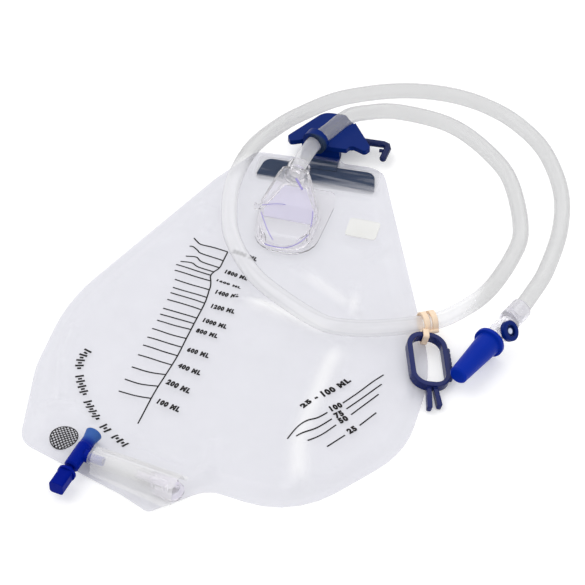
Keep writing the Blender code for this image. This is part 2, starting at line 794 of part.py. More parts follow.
def make_tap(blue, dark_blue, black, outlet):
    """The push-pull tap: a T body with a flared spout, and a plunger with its seal and knob."""
    stand = Matrix.Rotation(math.radians(-90), 4, "X")
    mouth_bore = TAP_SPOUT_RADIUS - TAP_WALL / 2
    step = PISTON_TOP + 0.001
    profile = [
        (TAP_MOUTH_RADIUS - TAP_WALL / 2, TAP_TOP),
        (TAP_MOUTH_RADIUS, TAP_TOP),
        (TAP_SPOUT_RADIUS, TAP_TOP - 0.005),
        (TAP_SPOUT_RADIUS, TAP_TOP - 0.0095),
        (TAP_BODY_RADIUS, TAP_TOP - 0.0105),
        (TAP_BODY_RADIUS, TAP_BOTTOM + 0.001),
        (TAP_BODY_RADIUS - 0.001, TAP_BOTTOM),
        (STEM_RADIUS + SLIDE_FIT, TAP_BOTTOM),
        (STEM_RADIUS + SLIDE_FIT, TAP_BOTTOM + TAP_CAP),
        (TAP_BORE, TAP_BOTTOM + TAP_CAP),
        (TAP_BORE, step),
        (mouth_bore, step + 0.0010),
        (mouth_bore, TAP_TOP - 0.005),
    ]
    body = add("tap_body", turned(profile, 32, hollow=True), blue, outlet, stand)
    turn = Matrix.Rotation(math.radians(90), 4, "Y")
    spigot = HOSE_BORE - GAP
    collar = HOSE_START - GAP
    side = [
        (0, TAP_BORE + 0.0006),
        (HOSE_RADIUS - 0.0006, TAP_BORE + 0.0006),
        (HOSE_RADIUS - 0.0006, collar),
        (spigot, collar),
        (spigot, collar + SPIGOT_LENGTH),
        (0, collar + SPIGOT_LENGTH),
    ]
    combine(body, "UNION", add("tool_tap_spigot", turned(side, 24), parent=outlet, matrix=turn))
    bore = rod(SPIGOT_BORE, 0, collar + SPIGOT_LENGTH + GAP)
    combine(body, "DIFFERENCE", add("tool_tap_bore", bore, parent=outlet, matrix=turn))

    slide = frame("tap_slide", 0, 0, 0)
    slide.parent = outlet
    piston = TAP_BORE - SLIDE_FIT
    groove = piston - 2 * SEAL_RADIUS - SLIDE_FIT
    groove_top = PISTON_TOP - 0.0010
    groove_bottom = groove_top - 2 * SEAL_RADIUS - 2 * GAP
    plunger_profile = [
        (0, PISTON_TOP),
        (piston, PISTON_TOP),
        (piston, groove_top),
        (groove, groove_top),
        (groove, groove_bottom),
        (piston, groove_bottom),
        (piston, PISTON_BOTTOM),
        (STEM_RADIUS, PISTON_BOTTOM),
        (STEM_RADIUS, KNOB_FLANGE_TOP),
        (KNOB_FLANGE, KNOB_FLANGE_TOP),
        (KNOB_FLANGE, KNOB_FLANGE_TOP - 0.0018),
        (0, KNOB_FLANGE_TOP - 0.0018),
    ]
    plunger = add("tap_plunger", turned(plunger_profile, 28), dark_blue, slide, stand)
    knob_plan = rounded(rectangle(0, 0, KNOB_WIDTH, KNOB_WIDTH, 0.0018))
    knob = prism(knob_plan, KNOB_END, KNOB_FLANGE_TOP - 0.0010)
    combine(plunger, "UNION", add("tool_knob", knob, parent=slide, matrix=stand))
    middle = (groove_top + groove_bottom) / 2
    centre = groove + SLIDE_FIT / 2 + SEAL_RADIUS
    ring = []
    for index in range(10):
        angle = 2 * math.pi * index / 10
        ring.append((centre + SEAL_RADIUS * math.cos(angle), middle + SEAL_RADIUS * math.sin(angle)))
    add("tap_seal", turned(ring, 28, hollow=True), black, slide, stand)


def sleeve_section(x, side, foot):
    """One cut through the pocket film over the hose, as points round its wall."""
    inner = HOSE_RADIUS + 2 * GAP
    crown = inner + 0.0012
    low = SEAT_Z - OUTLET_Z
    ridge = [(0.0135, low), (0.0085, low), (0.0062, crown * 0.55), (0.0025, crown), (-0.0015, crown)]
    ridge += [(-side + 0.0004, crown * 0.45), (-side, low), (-foot, low)]
    over = []
    for y, z in ridge:
        over.append(Vector((x, y, z + FILM)))
    over[5].y -= FILM * 0.6
    over[2].y += FILM * 0.8
    over[1].y += FILM * 0.3
    over[6].y -= FILM
    under = [Vector((x, y, z)) for y, z in reversed(ridge)]
    return over + under


def make_sleeve(clear, outlet):
    left = sleeve_section(SLEEVE_LEFT, HOSE_RADIUS + 0.0010, HOSE_RADIUS + 0.0030)
    right = sleeve_section(SLEEVE_RIGHT, HOSE_RADIUS + 0.0040, HOSE_RADIUS + 0.0080)
    add("outlet_sleeve", lofted([left, right]), clear, outlet)


def make_connector(clear, navy, pale, blue):
    """Tube socket, neck, hub with its sampling port, flange, stepped taper and the cap over it."""
    line = frame("connector_frame", *TUBE_ROUTE[-1], -CONNECTOR_TURN, pitch=-CONNECTOR_RISE)
    lie = Matrix.Rotation(math.radians(90), 4, "X")
    socket = TUBE_RADIUS + TUBE_FIT
    start = -SOCKET_DEPTH
    profile = [
        (socket, start),
        (socket + SOCKET_WALL, start),
        (socket + SOCKET_WALL, 0.0015),
        (NECK_RADIUS, 0.0030),
        (NECK_RADIUS, HUB_START - SOCKET_DEPTH - 0.001),
        (HUB_RADIUS, HUB_START - SOCKET_DEPTH),
        (HUB_RADIUS, HUB_END - SOCKET_DEPTH),
        (TAPER_ROOT, HUB_END - SOCKET_DEPTH + 0.0006),
        (TAPER_ROOT, TAPER_START - SOCKET_DEPTH - 0.0018),
        (CONNECTOR_FLANGE, TAPER_START - SOCKET_DEPTH - 0.0018),
        (CONNECTOR_FLANGE, TAPER_START - SOCKET_DEPTH - GAP),
        (TAPER_ROOT, TAPER_START - SOCKET_DEPTH - GAP),
        (TAPER_ROOT - 0.0005, TAPER_START - SOCKET_DEPTH + TAPER_LENGTH * 0.5),
        (TAPER_ROOT - 0.0009, TAPER_START - SOCKET_DEPTH + TAPER_LENGTH * 0.52),
        (TAPER_TIP, TAPER_START - SOCKET_DEPTH + TAPER_LENGTH),
        (CONNECTOR_BORE, TAPER_START - SOCKET_DEPTH + TAPER_LENGTH),
        (CONNECTOR_BORE, GAP),
        (socket, GAP),
    ]
    body = add("connector_body", turned(profile, 32, hollow=True), clear, line, lie)

    port = frame("sampling_port_frame", 0, -(HUB_START + HUB_END) / 2 + SOCKET_DEPTH, 0, 0, PORT_TILT)
    port.parent = line
    boss_radius = PORT_RING_RADIUS - 0.0006
    well = SEPTUM_RADIUS + GAP
    boss = turned(
        [
            (0, 0.0030),
            (boss_radius - 0.001, 0.0030),
            (boss_radius, HUB_RADIUS),
            (boss_radius, PORT_RISE),
            (0, PORT_RISE),
        ],
        28,
    )
    combine(body, "UNION", add("tool_boss", boss, parent=port))
    bore = rod(CONNECTOR_BORE, 0, PORT_RISE + GAP)
    combine(body, "DIFFERENCE", add("tool_boss_bore", bore, parent=port))
    low = PORT_RISE + GAP
    high = low + PORT_RING_HEIGHT
    ring = [
        (well, low),
        (PORT_RING_RADIUS, low),
        (PORT_RING_RADIUS, high - 0.0006),
        (PORT_RING_RADIUS - 0.0006, high),
        (well + 0.0006, high),
        (well, high - 0.0006),
    ]
    add("port_ring", turned(ring, 32, hollow=True), navy, port)
    septum = [
        (0, low),
        (SEPTUM_RADIUS, low),
        (SEPTUM_RADIUS, high - 0.0016),
        (0.0012, high - 0.0010),
        (0, high - 0.0010),
    ]
    add("port_septum", turned(septum, 28), pale, port)

    cap_start = TAPER_START - SOCKET_DEPTH
    cap_end = cap_start + CAP_LENGTH
    cap = [
        (0, cap_end),
        (CAP_TIP_RADIUS - 0.0010, cap_end),
        (CAP_TIP_RADIUS, cap_end - 0.0010),
        (CAP_ROOT_RADIUS, cap_start + CAP_FLANGE_THICKNESS + 0.0004),
        (CAP_FLANGE_RADIUS, cap_start + CAP_FLANGE_THICKNESS),
        (CAP_FLANGE_RADIUS, cap_start),
        (CAP_ROOT_RADIUS - CAP_WALL, cap_start),
        (CAP_TIP_RADIUS - CAP_WALL, cap_end - CAP_WALL),
        (0, cap_end - CAP_WALL),
    ]
    slide = frame("cap_slide", 0, 0, 0)
    slide.parent = line
    add("connector_cap", turned(cap), blue, slide, lie)


def make_band(beige, route, clip):
    """A band wound twice round the tube, knotted between the turns and looped round the clip."""
    bpy.context.view_layer.update()
    strap_y = (CLIP_LENGTH - CLIP_STRAP) / 2
    strap = clip.matrix_world @ Vector((BAND_LOOP_X, strap_y, 0))
    start, end = min(zip(route, route[1:]), key=lambda pair: ((pair[0] + pair[1]) / 2 - strap).length)
    way = (end - start).normalized()
    middle = (start + end) / 2
    inner = TUBE_RADIUS + TUBE_FIT
    outer = inner + BAND_THICKNESS
    profile = [(inner, 0), (outer, 0), (outer, BAND_WIDTH), (inner, BAND_WIDTH)]
    first = middle - way * (BAND_SPACING + BAND_WIDTH) / 2
    band = add("rubber_band", turned(profile, hollow=True), beige, matrix=along(first, end))
    second = turned(profile, hollow=True)
    aside = (strap - middle) - way * (strap - middle).dot(way)
    knot_at = middle + aside.normalized() * (inner + GAP + KNOT_RADIUS)
    half = (BAND_SPACING + BAND_WIDTH) / 2 - GAP
    knot = rod(KNOT_RADIUS, -half, half)
    room = 2 * (BAND_FIT + BAND_THICKNESS)
    loop_outer = rectangle(strap_y, 0, CLIP_STRAP + room, CLIP_HEIGHT + room, 0.0014)
    loop_inner = rectangle(strap_y, 0, CLIP_STRAP + 2 * BAND_FIT, CLIP_HEIGHT + 2 * BAND_FIT)
    place = Matrix.Translation((BAND_LOOP_X, 0, 0))
    loop = add("tool_band_loop", across(rounded(loop_outer), BAND_WIDTH / 2), parent=clip, matrix=place)
    hole = add("tool_band_hole", across(rounded(loop_inner), BAND_WIDTH), parent=clip, matrix=place)
    combine(loop, "DIFFERENCE", hole)
    combine(
        band,
        "UNION",
        add("tool_band_turn", second, matrix=along(first + way * BAND_SPACING, end + way)),
        add("tool_band_knot", knot, matrix=along(knot_at, knot_at + way)),
        loop,
    )


def ring_corners(length, width):
    """The clip's ring: an oval with flat flanks."""
    radius = width * 0.42
    return rectangle(0, 0, width, length, radius)


def make_clip(navy):
    """The one-piece sheet clip: a sprung ring with a ribbed grip and two jaws."""
    clip = frame("clip_frame", CLIP_X, CLIP_Y, CLIP_Z, CLIP_TURN, CLIP_TILT, CLIP_PITCH)
    low = -CLIP_HEIGHT / 2
    high = CLIP_HEIGHT / 2
    outer = ring_corners(CLIP_LENGTH, CLIP_WIDTH)
    ring = add("sheet_clip", prism(rounded(outer, 8), low, high), navy, clip)
    foot = -CLIP_LENGTH / 2
    jaws = []
    for side, reach in ((-1, JAW_LENGTH), (1, JAW_LENGTH * 0.86)):
        spread = side * 0.0030
        corners = [
            (spread * 0.5 - side * 0.0011, foot + CLIP_STRAP * 0.8, 0),
            (spread * 0.5 + side * 0.0016, foot + CLIP_STRAP * 0.8, 0),
            (spread + side * 0.0016, foot - reach, 0.001),
            (spread - side * 0.0014, foot - reach, 0.001),
        ]
        if side > 0:
            corners.reverse()
        solid = prism(rounded(corners), low + GAP / 2, low + JAW_HEIGHT)
        jaws.append(add(f"tool_jaw_{side + 2}", solid, parent=clip))
    grip = rectangle(CLIP_WIDTH / 2 + 0.0001, -0.0015, 0.0026, CLIP_LENGTH * 0.55, 0.0010)
    jaws.append(add("tool_grip", prism(rounded(grip), low + GAP * 1.5, high - GAP * 1.5), parent=clip))
    combine(ring, "UNION", *jaws)
    hole = prism(rounded(offset(outer, -CLIP_STRAP), 8), low - GAP, high + GAP)
    combine(ring, "DIFFERENCE", add("tool_ring_hole", hole, parent=clip))
    for index in range(6):
        y = -0.0015 + (index - 2.5) * 0.0030
        notch = rounded(rectangle(CLIP_WIDTH / 2 + 0.0022, y, 0.0022, 0.0011, 0))
        cut = add(f"tool_notch_{index}", prism(notch, low - GAP, high + GAP), parent=clip)
        combine(ring, "DIFFERENCE", cut)
    return clip


def main():
    clear_scene()
    film = finish("clear_film", (0.86, 0.86, 0.90), 0.35, 0.6)
    hose = finish("clear_hose", (0.88, 0.88, 0.88), 0.15, 0.7)
    lavender = finish("lavender_plastic", (0.72, 0.66, 0.90), 0.12, 0.6)
    soft = finish("soft_flap", (0.80, 0.78, 0.90), 0.3, 0.5)
    clear = finish("clear_plastic", (0.86, 0.84, 0.92), 0.1, 0.8)
    navy = finish("navy_plastic", (0.02, 0.05, 0.22), 0.3)
    dark_navy = finish("dark_navy_plastic", (0.012, 0.02, 0.09), 0.22)
    royal = finish("royal_blue_plastic", (0.0, 0.045, 0.42), 0.35)
    tap_blue = finish("tap_blue_plastic", (0.01, 0.09, 0.48), 0.25)
    white = finish("filter_white", (0.86, 0.86, 0.82), 0.8)
    rubber = finish("black_rubber", (0.03, 0.03, 0.03), 0.6)
    beige = finish("beige_rubber", (0.85, 0.62, 0.42), 0.55)

    route = smooth_route(TUBE_ROUTE, TUBE_STEP)
    make_films(film)
    group = make_hanger(navy, route)
    make_hook(dark_navy, group)
    make_chamber(lavender, soft, route)
    make_vent(white)
    outlet = outlet_frame()
    make_port(lavender, outlet)
    make_hose(hose, outlet)
    make_tap(tap_blue, royal, rubber, outlet)
    make_sleeve(film, outlet)
    make_connector(clear, navy, white, royal)
    clip = make_clip(navy)
    make_band(beige, route, clip)
    tube("drain_tube", route, TUBE_RADIUS, 4, hose)


main()
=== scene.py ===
import math
import bmesh
import bpy
import numpy as np
from mathutils import Matrix, Vector, noise


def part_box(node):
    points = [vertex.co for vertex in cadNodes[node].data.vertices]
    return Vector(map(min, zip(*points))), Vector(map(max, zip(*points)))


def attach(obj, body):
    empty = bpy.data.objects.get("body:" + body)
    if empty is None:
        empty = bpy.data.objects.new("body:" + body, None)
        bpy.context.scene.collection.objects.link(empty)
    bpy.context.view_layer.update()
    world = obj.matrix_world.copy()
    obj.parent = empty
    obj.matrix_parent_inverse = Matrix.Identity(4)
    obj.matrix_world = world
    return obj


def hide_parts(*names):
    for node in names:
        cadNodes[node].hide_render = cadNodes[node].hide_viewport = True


# A film drainage bag lying on a white table. Metres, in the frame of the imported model.

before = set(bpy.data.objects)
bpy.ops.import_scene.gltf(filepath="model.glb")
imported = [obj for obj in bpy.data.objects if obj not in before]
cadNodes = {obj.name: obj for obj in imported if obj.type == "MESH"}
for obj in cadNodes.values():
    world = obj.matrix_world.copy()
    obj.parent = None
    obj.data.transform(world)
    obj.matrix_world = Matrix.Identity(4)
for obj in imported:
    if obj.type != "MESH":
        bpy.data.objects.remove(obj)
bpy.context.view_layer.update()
mergeWithin = 0.000002


# Small helpers, so each piece below reads as steps
def deselectAll():
    bpy.ops.object.select_all(action="DESELECT")


def pick(piece):
    deselectAll()
    piece.select_set(True)
    bpy.context.view_layer.objects.active = piece


def place(piece):
    # bakes location, turn and size into the mesh
    pick(piece)
    bpy.ops.object.transform_apply(location=True, rotation=True, scale=True)


def applyAll(piece):
    pick(piece)
    for step in list(piece.modifiers):
        bpy.ops.object.modifier_apply(modifier=step.name)


def smoothPiece(piece, degrees):
    pick(piece)
    bpy.ops.object.shade_smooth_by_angle(angle=math.radians(degrees))


def dress(piece, material):
    piece.data.materials.clear()
    piece.data.materials.append(material)


def joinPieces(pieces, name):
    deselectAll()
    for piece in pieces:
        piece.select_set(True)
    bpy.context.view_layer.objects.active = pieces[0]
    bpy.ops.object.join()
    pieces[0].name = name
    return pieces[0]


def mergeDoubles(piece):
    pick(piece)
    bpy.ops.object.mode_set(mode="EDIT")
    bpy.ops.mesh.select_all(action="SELECT")
    bpy.ops.mesh.remove_doubles(threshold=mergeWithin)
    bpy.ops.object.mode_set(mode="OBJECT")


def copyNode(node, name):
    # a merged copy of a CAD node, to cut or reshape
    made = bpy.data.objects.new(name, cadNodes[node].data.copy())
    bpy.context.scene.collection.objects.link(made)
    mergeDoubles(made)
    return made


# Node helpers: each gives back the output of the node it makes
def wire(tree, value, socket):
    # links an output, or sets a plain number or colour
    if isinstance(value, bpy.types.NodeSocket):
        tree.links.new(value, socket)
    else:
        socket.default_value = value


def ownPlace(tree):
    return tree.nodes.new("ShaderNodeTexCoord").outputs["Object"]


def mathNode(tree, operation, *terms):
    made = tree.nodes.new("ShaderNodeMath")
    made.operation = operation
    for term, socket in zip(terms, made.inputs):
        wire(tree, term, socket)
    return made.outputs[0]


def spread(tree, value, near=0.0, far=1.0, low=0.0, high=1.0, smooth=False):
    # near to far becomes low to high
    made = tree.nodes.new("ShaderNodeMapRange")
    if smooth:
        made.interpolation_type = "SMOOTHSTEP"
    wire(tree, value, made.inputs["Value"])
    made.inputs["From Min"].default_value = near
    made.inputs["From Max"].default_value = far
    made.inputs["To Min"].default_value = low
    made.inputs["To Max"].default_value = high
    return made.outputs["Result"]


def noiseNode(tree, vector, scale, detail=2.0, distortion=0.0):
    made = tree.nodes.new("ShaderNodeTexNoise")
    made.inputs["Scale"].default_value = scale
    made.inputs["Detail"].default_value = detail
    made.inputs["Distortion"].default_value = distortion
    tree.links.new(vector, made.inputs["Vector"])
    return made.outputs["Fac"]


def bumpNode(tree, height, strength, distance, normal=None):
    made = tree.nodes.new("ShaderNodeBump")
    made.inputs["Distance"].default_value = distance
    tree.links.new(strength, made.inputs["Strength"])
    tree.links.new(height, made.inputs["Height"])
    if normal:
        tree.links.new(normal, made.inputs["Normal"])
    return made.outputs[0]


def scaledColour(tree, colour, amount):
    made = tree.nodes.new("ShaderNodeVectorMath")
    made.operation = "SCALE"
    tree.links.new(colour, made.inputs[0])
    tree.links.new(amount, made.inputs["Scale"])
    return made.outputs[0]


def mixedColour(tree, first, second, share, kind="MIX"):
    made = tree.nodes.new("ShaderNodeMix")
    made.data_type = "RGBA"
    made.blend_type = kind
    wire(tree, share, made.inputs["Factor"])
    wire(tree, first, made.inputs["A"])
    wire(tree, second, made.inputs["B"])
    return made.outputs["Result"]


def rampNode(tree, value, stops):
    made = tree.nodes.new("ShaderNodeValToRGB")
    steps = made.color_ramp.elements
    for index, (at, colour) in enumerate(stops):
        step = steps[index] if index < 2 else steps.new(at)
        step.position = at
        step.color = (*colour, 1)
    tree.links.new(value, made.inputs["Fac"])
    return made.outputs["Color"]


def attributeNode(tree, name):
    made = tree.nodes.new("ShaderNodeAttribute")
    made.attribute_name = name
    return made.outputs["Fac"]


def facing(tree, blend):
    # 0 where a surface faces the eye and 1 where it is seen on edge
    made = tree.nodes.new("ShaderNodeLayerWeight")
    made.inputs["Blend"].default_value = blend
    return made.outputs["Facing"]


# Camera, at the photograph's angle
camera = {"place": (0.2896, -0.9684, 1.0080), "aim": (0.0155, 0.0200, 0.0), "lens": 150, "sensor": 36}


def turnTo(place, aim):
    return (Vector(aim) - Vector(place)).to_track_quat("-Z", "Y").to_euler()


def makeCamera():
    bpy.ops.object.camera_add(location=camera["place"])
    made = bpy.context.object
    made.name = "tableCamera"
    made.data.lens = camera["lens"]
    made.data.sensor_width = camera["sensor"]
    made.rotation_euler = turnTo(camera["place"], camera["aim"])
    bpy.context.scene.camera = made


# Studio: a white table, a soft key from the upper left and a weaker fill
studio = {
    "ambient": 0.68,
    "aim": (0.02, 0.0, 0.0),
    "lamps": [  # name, place, size, power
        ("keyLamp", (-0.75, 0.12, 1.15), 1.4, 6.5),
        ("fillLamp", (0.9, -0.5, 0.9), 1.5, 4.5),
        ("rimLamp", (0.35, 1.1, 0.7), 0.8, 1.5),
    ],
    "table": (0.90, 0.90, 0.90),
    "tableSize": 8,
    "tableHeight": -0.0004,
    "lift": 0.25,
}


def seenByEye(tree):
    # 1 for what the eye sees, straight on, in a gloss or through clear plastic, and 0 for other light
    path = tree.nodes.new("ShaderNodeLightPath")
    through = mathNode(tree, "MAXIMUM", path.outputs["Is Glossy Ray"], path.outputs["Is Transmission Ray"])
    return mathNode(tree, "MAXIMUM", path.outputs["Is Camera Ray"], through)


def makeSky():
    world = bpy.data.worlds.new("studioWorld")
    bpy.context.scene.world = world
    world.use_nodes = True
    tree = world.node_tree
    back = tree.nodes["Background"]
    tree.links.new(spread(tree, seenByEye(tree), low=studio["ambient"]), back.inputs["Strength"])
    back.inputs["Color"].default_value = (1, 1, 1, 1)


def makeLamps():
    for name, spot, size, power in studio["lamps"]:
        bpy.ops.object.light_add(type="AREA", location=spot)
        lamp = bpy.context.object
        lamp.name = name
        lamp.data.size = size
        lamp.data.energy = power
        lamp.rotation_euler = turnTo(spot, studio["aim"])


def makeTable():
    bpy.ops.mesh.primitive_plane_add(size=studio["tableSize"], location=(0, 0, studio["tableHeight"]))
    floor = bpy.context.object
    floor.name = "tableTop"
    paint, tree, surface = principled("tableTop")
    surface.inputs["Base Color"].default_value = (*studio["table"], 1)
    surface.inputs["Roughness"].default_value = 0.9
    surface.inputs["Specular IOR Level"].default_value = 0.1
    surface.inputs["Emission Color"].default_value = (1, 1, 1, 1)
    lift = mathNode(tree, "MULTIPLY", seenByEye(tree), studio["lift"])
    tree.links.new(lift, surface.inputs["Emission Strength"])
    dress(floor, paint)


# Shared shader effects
def newGroup(name, inputs, outputs):
    group = bpy.data.node_groups.new(name, "ShaderNodeTree")
    for label, kind, value in inputs:
        made = group.interface.new_socket(name=label, in_out="INPUT", socket_type=kind)
        made.default_value = value
    for label, kind in outputs:
        group.interface.new_socket(name=label, in_out="OUTPUT", socket_type=kind)
    start = group.nodes.new("NodeGroupInput")
    end = group.nodes.new("NodeGroupOutput")
    return group, start.outputs, end.inputs


def moulding():
    # moulded plastic: slow colour drift, fine pitting and softened edges
    group, given, result = newGroup(
        "mouldedPlastic",
        [
            ("Color", "NodeSocketColor", (0.5, 0.5, 0.5, 1)), ("Drift", "NodeSocketFloat", 0.12),
            ("Roughness", "NodeSocketFloat", 0.3), ("Grain", "NodeSocketFloat", 0.15),
            ("Edge", "NodeSocketFloat", 0.0004),
        ],
        [("Color", "NodeSocketColor"), ("Roughness", "NodeSocketFloat"), ("Normal", "NodeSocketVector")],
    )
    spot = ownPlace(group)
    cloud = noiseNode(group, spot, 90, 3)
    swing = mathNode(group, "MULTIPLY_ADD", cloud, given["Drift"], 0.95)
    group.links.new(scaledColour(group, given["Color"], swing), result["Color"])
    fine = noiseNode(group, spot, 1800, 2)
    rough = mathNode(group, "MULTIPLY_ADD", fine, given["Grain"], given["Roughness"])
    group.links.new(rough, result["Roughness"])
    soft = group.nodes.new("ShaderNodeBevel")
    soft.samples = 4
    group.links.new(given["Edge"], soft.inputs["Radius"])
    pits = bumpNode(group, fine, given["Grain"], 0.00004, soft.outputs[0])
    group.links.new(pits, result["Normal"])
    return group


def crinkle():
    # soft vinyl: long slack waves with a fine leathery crinkle, and a milky cloud
    group, given, result = newGroup(
        "vinylCrinkle",
        [
            ("Color", "NodeSocketColor", (0.8, 0.8, 0.85, 1)), ("Cloud", "NodeSocketFloat", 0.06),
            ("Depth", "NodeSocketFloat", 0.4), ("Fine", "NodeSocketFloat", 0.2),
        ],
        [("Color", "NodeSocketColor"), ("Normal", "NodeSocketVector")],
    )
    spot = ownPlace(group)
    slack = noiseNode(group, spot, 38, 4, 0.6)
    skin = noiseNode(group, spot, 900, 2)
    waves = bumpNode(group, slack, given["Depth"], 0.004)
    group.links.new(bumpNode(group, skin, given["Fine"], 0.00006, waves), result["Normal"])
    swing = mathNode(group, "MULTIPLY_ADD", slack, given["Cloud"], 0.97)
    group.links.new(scaledColour(group, given["Color"], swing), result["Color"])
    return group


# Materials
def principled(name):
    made = bpy.data.materials.new(name)
    made.use_nodes = True
    return made, made.node_tree, made.node_tree.nodes["Principled BSDF"]


def effect(tree, group, colour, **levels):
    # a shared effect in this material, with its own colour and levels
    node = tree.nodes.new("ShaderNodeGroup")
    node.node_tree = group
    node.inputs["Color"].default_value = (*colour, 1)
    for label, amount in levels.items():
        node.inputs[label].default_value = amount
    return node


def lightShadow(tree, surface, alpha, share):
    # the piece keeps its alpha to the eye and lets most of the light through to what is under it
    path = tree.nodes.new("ShaderNodeLightPath")
    hidden = mathNode(tree, "MAXIMUM", path.outputs["Is Shadow Ray"], path.outputs["Is Diffuse Ray"])
    fade = mathNode(tree, "MULTIPLY_ADD", hidden, share - 1, 1)
    tree.links.new(mathNode(tree, "MULTIPLY", fade, alpha), surface.inputs["Alpha"])


def roundMask(tree, centre, near, far, upright=False):
    # 0 inside a ball, or an upright column, and 1 outside it
    squash = tree.nodes.new("ShaderNodeVectorMath")
    squash.operation = "MULTIPLY"
    squash.inputs[1].default_value = (1, 1, 0 if upright else 1)
    tree.links.new(ownPlace(tree), squash.inputs[0])
    away = tree.nodes.new("ShaderNodeVectorMath")
    away.operation = "DISTANCE"
    away.inputs[1].default_value = centre
    tree.links.new(squash.outputs[0], away.inputs[0])
    return spread(tree, away.outputs["Value"], near, far, smooth=True)


def lengthMask(tree, low, high):
    # 0 below low and 1 above high, along the bag's length
    split = tree.nodes.new("ShaderNodeSeparateXYZ")
    tree.links.new(ownPlace(tree), split.inputs[0])
    return spread(tree, split.outputs["Y"], low, high, smooth=True)


def plasticMaterial(
    name, group, colour, roughness, drift=0.12, grain=0.12, edge=0.0004, shine=0.08, lower=None, eye=None
):
    # lower: low, high and the colour below them; eye: centre, near, far and the colour inside
    made, tree, surface = principled(name)
    node = effect(tree, group, colour, Drift=drift, Roughness=roughness, Grain=grain, Edge=edge)
    if lower:
        low, high, other = lower
        mask = lengthMask(tree, low, high)
        tree.links.new(mixedColour(tree, (*other, 1), (*colour, 1), mask), node.inputs["Color"])
    if eye:
        centre, near, far, other = eye
        mask = roundMask(tree, centre, near, far)
        tree.links.new(mixedColour(tree, (*other, 1), (*colour, 1), mask), node.inputs["Color"])
    tree.links.new(node.outputs["Color"], surface.inputs["Base Color"])
    tree.links.new(node.outputs["Roughness"], surface.inputs["Roughness"])
    tree.links.new(node.outputs["Normal"], surface.inputs["Normal"])
    surface.inputs["Specular IOR Level"].default_value = shine
    return made


def filmMaterial(name, group, colour, alpha, depth, share=0.25, roughness=0.28, fine=0.2, edge=0.35):
    # milky film: more solid on edge, clearer where it clings to what is under it, with painted highlight streaks
    # where it clings to the plate, and a painted glare along its first folds that makes it whiter and more solid
    # there
    made, tree, surface = principled(name)
    node = effect(tree, group, colour, Depth=depth, Fine=fine)
    tree.links.new(node.outputs["Normal"], surface.inputs["Normal"])
    surface.inputs["Roughness"].default_value = roughness
    surface.inputs["Specular IOR Level"].default_value = 0.6
    solid = spread(tree, facing(tree, 0.35), low=alpha, high=min(alpha + edge, 1))
    # where the film clings to the plate it turns clearer, which is its own look; stretched streaks keep it whiter in
    # bands there, a painted highlight for the sheen over the plate
    drawn = tree.nodes.new("ShaderNodeMapping")
    drawn.inputs["Scale"].default_value = (0.10, 1.3, 1)
    tree.links.new(ownPlace(tree), drawn.inputs["Vector"])
    sheenStreak = noiseNode(tree, drawn.outputs[0], 160, 1)
    clingAndSheen = spread(tree, sheenStreak, 0.50, 0.75, -0.972, -0.55)
    clearedWithSheen = mathNode(tree, "MULTIPLY_ADD", attributeNode(tree, "cling"), clingAndSheen, 1)
    milky = mathNode(tree, "MULTIPLY", solid, clearedWithSheen)
    # painted highlight: the glare along the first folds makes the film whiter and more solid there
    foldGlare = attributeNode(tree, "foldGlare")
    whiter = mixedColour(tree, node.outputs["Color"], (1, 1, 1, 1), foldGlare)
    tree.links.new(whiter, surface.inputs["Base Color"])
    thicker = mathNode(tree, "MULTIPLY_ADD", foldGlare, 0.40, milky)
    thicker.node.use_clamp = True
    lightShadow(tree, surface, thicker, share)
    return made


def clearMaterial(name, group, colour, transmission, roughness, share=0.15, grain=0.05, edge=0.0003):
    # rigid clear plastic that refracts
    made, tree, surface = principled(name)
    node = effect(tree, group, colour, Drift=0.03, Roughness=roughness, Grain=grain, Edge=edge)
    tree.links.new(node.outputs["Color"], surface.inputs["Base Color"])
    tree.links.new(node.outputs["Roughness"], surface.inputs["Roughness"])
    tree.links.new(node.outputs["Normal"], surface.inputs["Normal"])
    surface.inputs["Transmission Weight"].default_value = transmission
    surface.inputs["IOR"].default_value = 1.4
    lightShadow(tree, surface, 1.0, share)
    return made


hoseLook = {
    # from the hose's middle to its side: clear, the line where its bore ends, then its wall
    "shades": [
        (0.16, (1.0, 1.0, 1.0)), (0.25, (0.91, 0.91, 0.91)), (0.36, (1.02, 1.02, 1.02)),
        (0.70, (1.0, 1.0, 1.0)), (1.0, (0.84, 0.84, 0.87)),
    ],
    # where the painted shade on the table begins: outside a column round the bag's middle
    "bagMiddle": (0.028, 0.047, 0),
    "bagNear": 0.090,
    "bagFar": 0.100,
}


def hoseMaterial(name, group, colour, low, high, share, tableShade):
    # soft clear hose: low and high are how solid its middle and sides are;
    # the last argument is a painted shade that dims it where it lies on the table, outside the bag
    made, tree, surface = principled(name)
    node = effect(tree, group, colour, Depth=0.02, Fine=0.0)
    rim = facing(tree, 0.5)
    shade = rampNode(tree, rim, hoseLook["shades"])
    outside = roundMask(tree, hoseLook["bagMiddle"], hoseLook["bagNear"], hoseLook["bagFar"], upright=True)
    # painted shade: the hose is darker where it lies on the table, outside the bag
    level = spread(tree, outside, low=1.0, high=tableShade)
    tint = mixedColour(tree, node.outputs["Color"], scaledColour(tree, shade, level), 1, "MULTIPLY")
    tree.links.new(tint, surface.inputs["Base Color"])
    tree.links.new(node.outputs["Normal"], surface.inputs["Normal"])
    surface.inputs["Roughness"].default_value = 0.14
    surface.inputs["Specular IOR Level"].default_value = 0.7
    surface.inputs["Coat Weight"].default_value = 0.3
    surface.inputs["Coat Roughness"].default_value = 0.06
    lightShadow(tree, surface, spread(tree, rim, 0.35, 0.95, low, high), share)
    return made


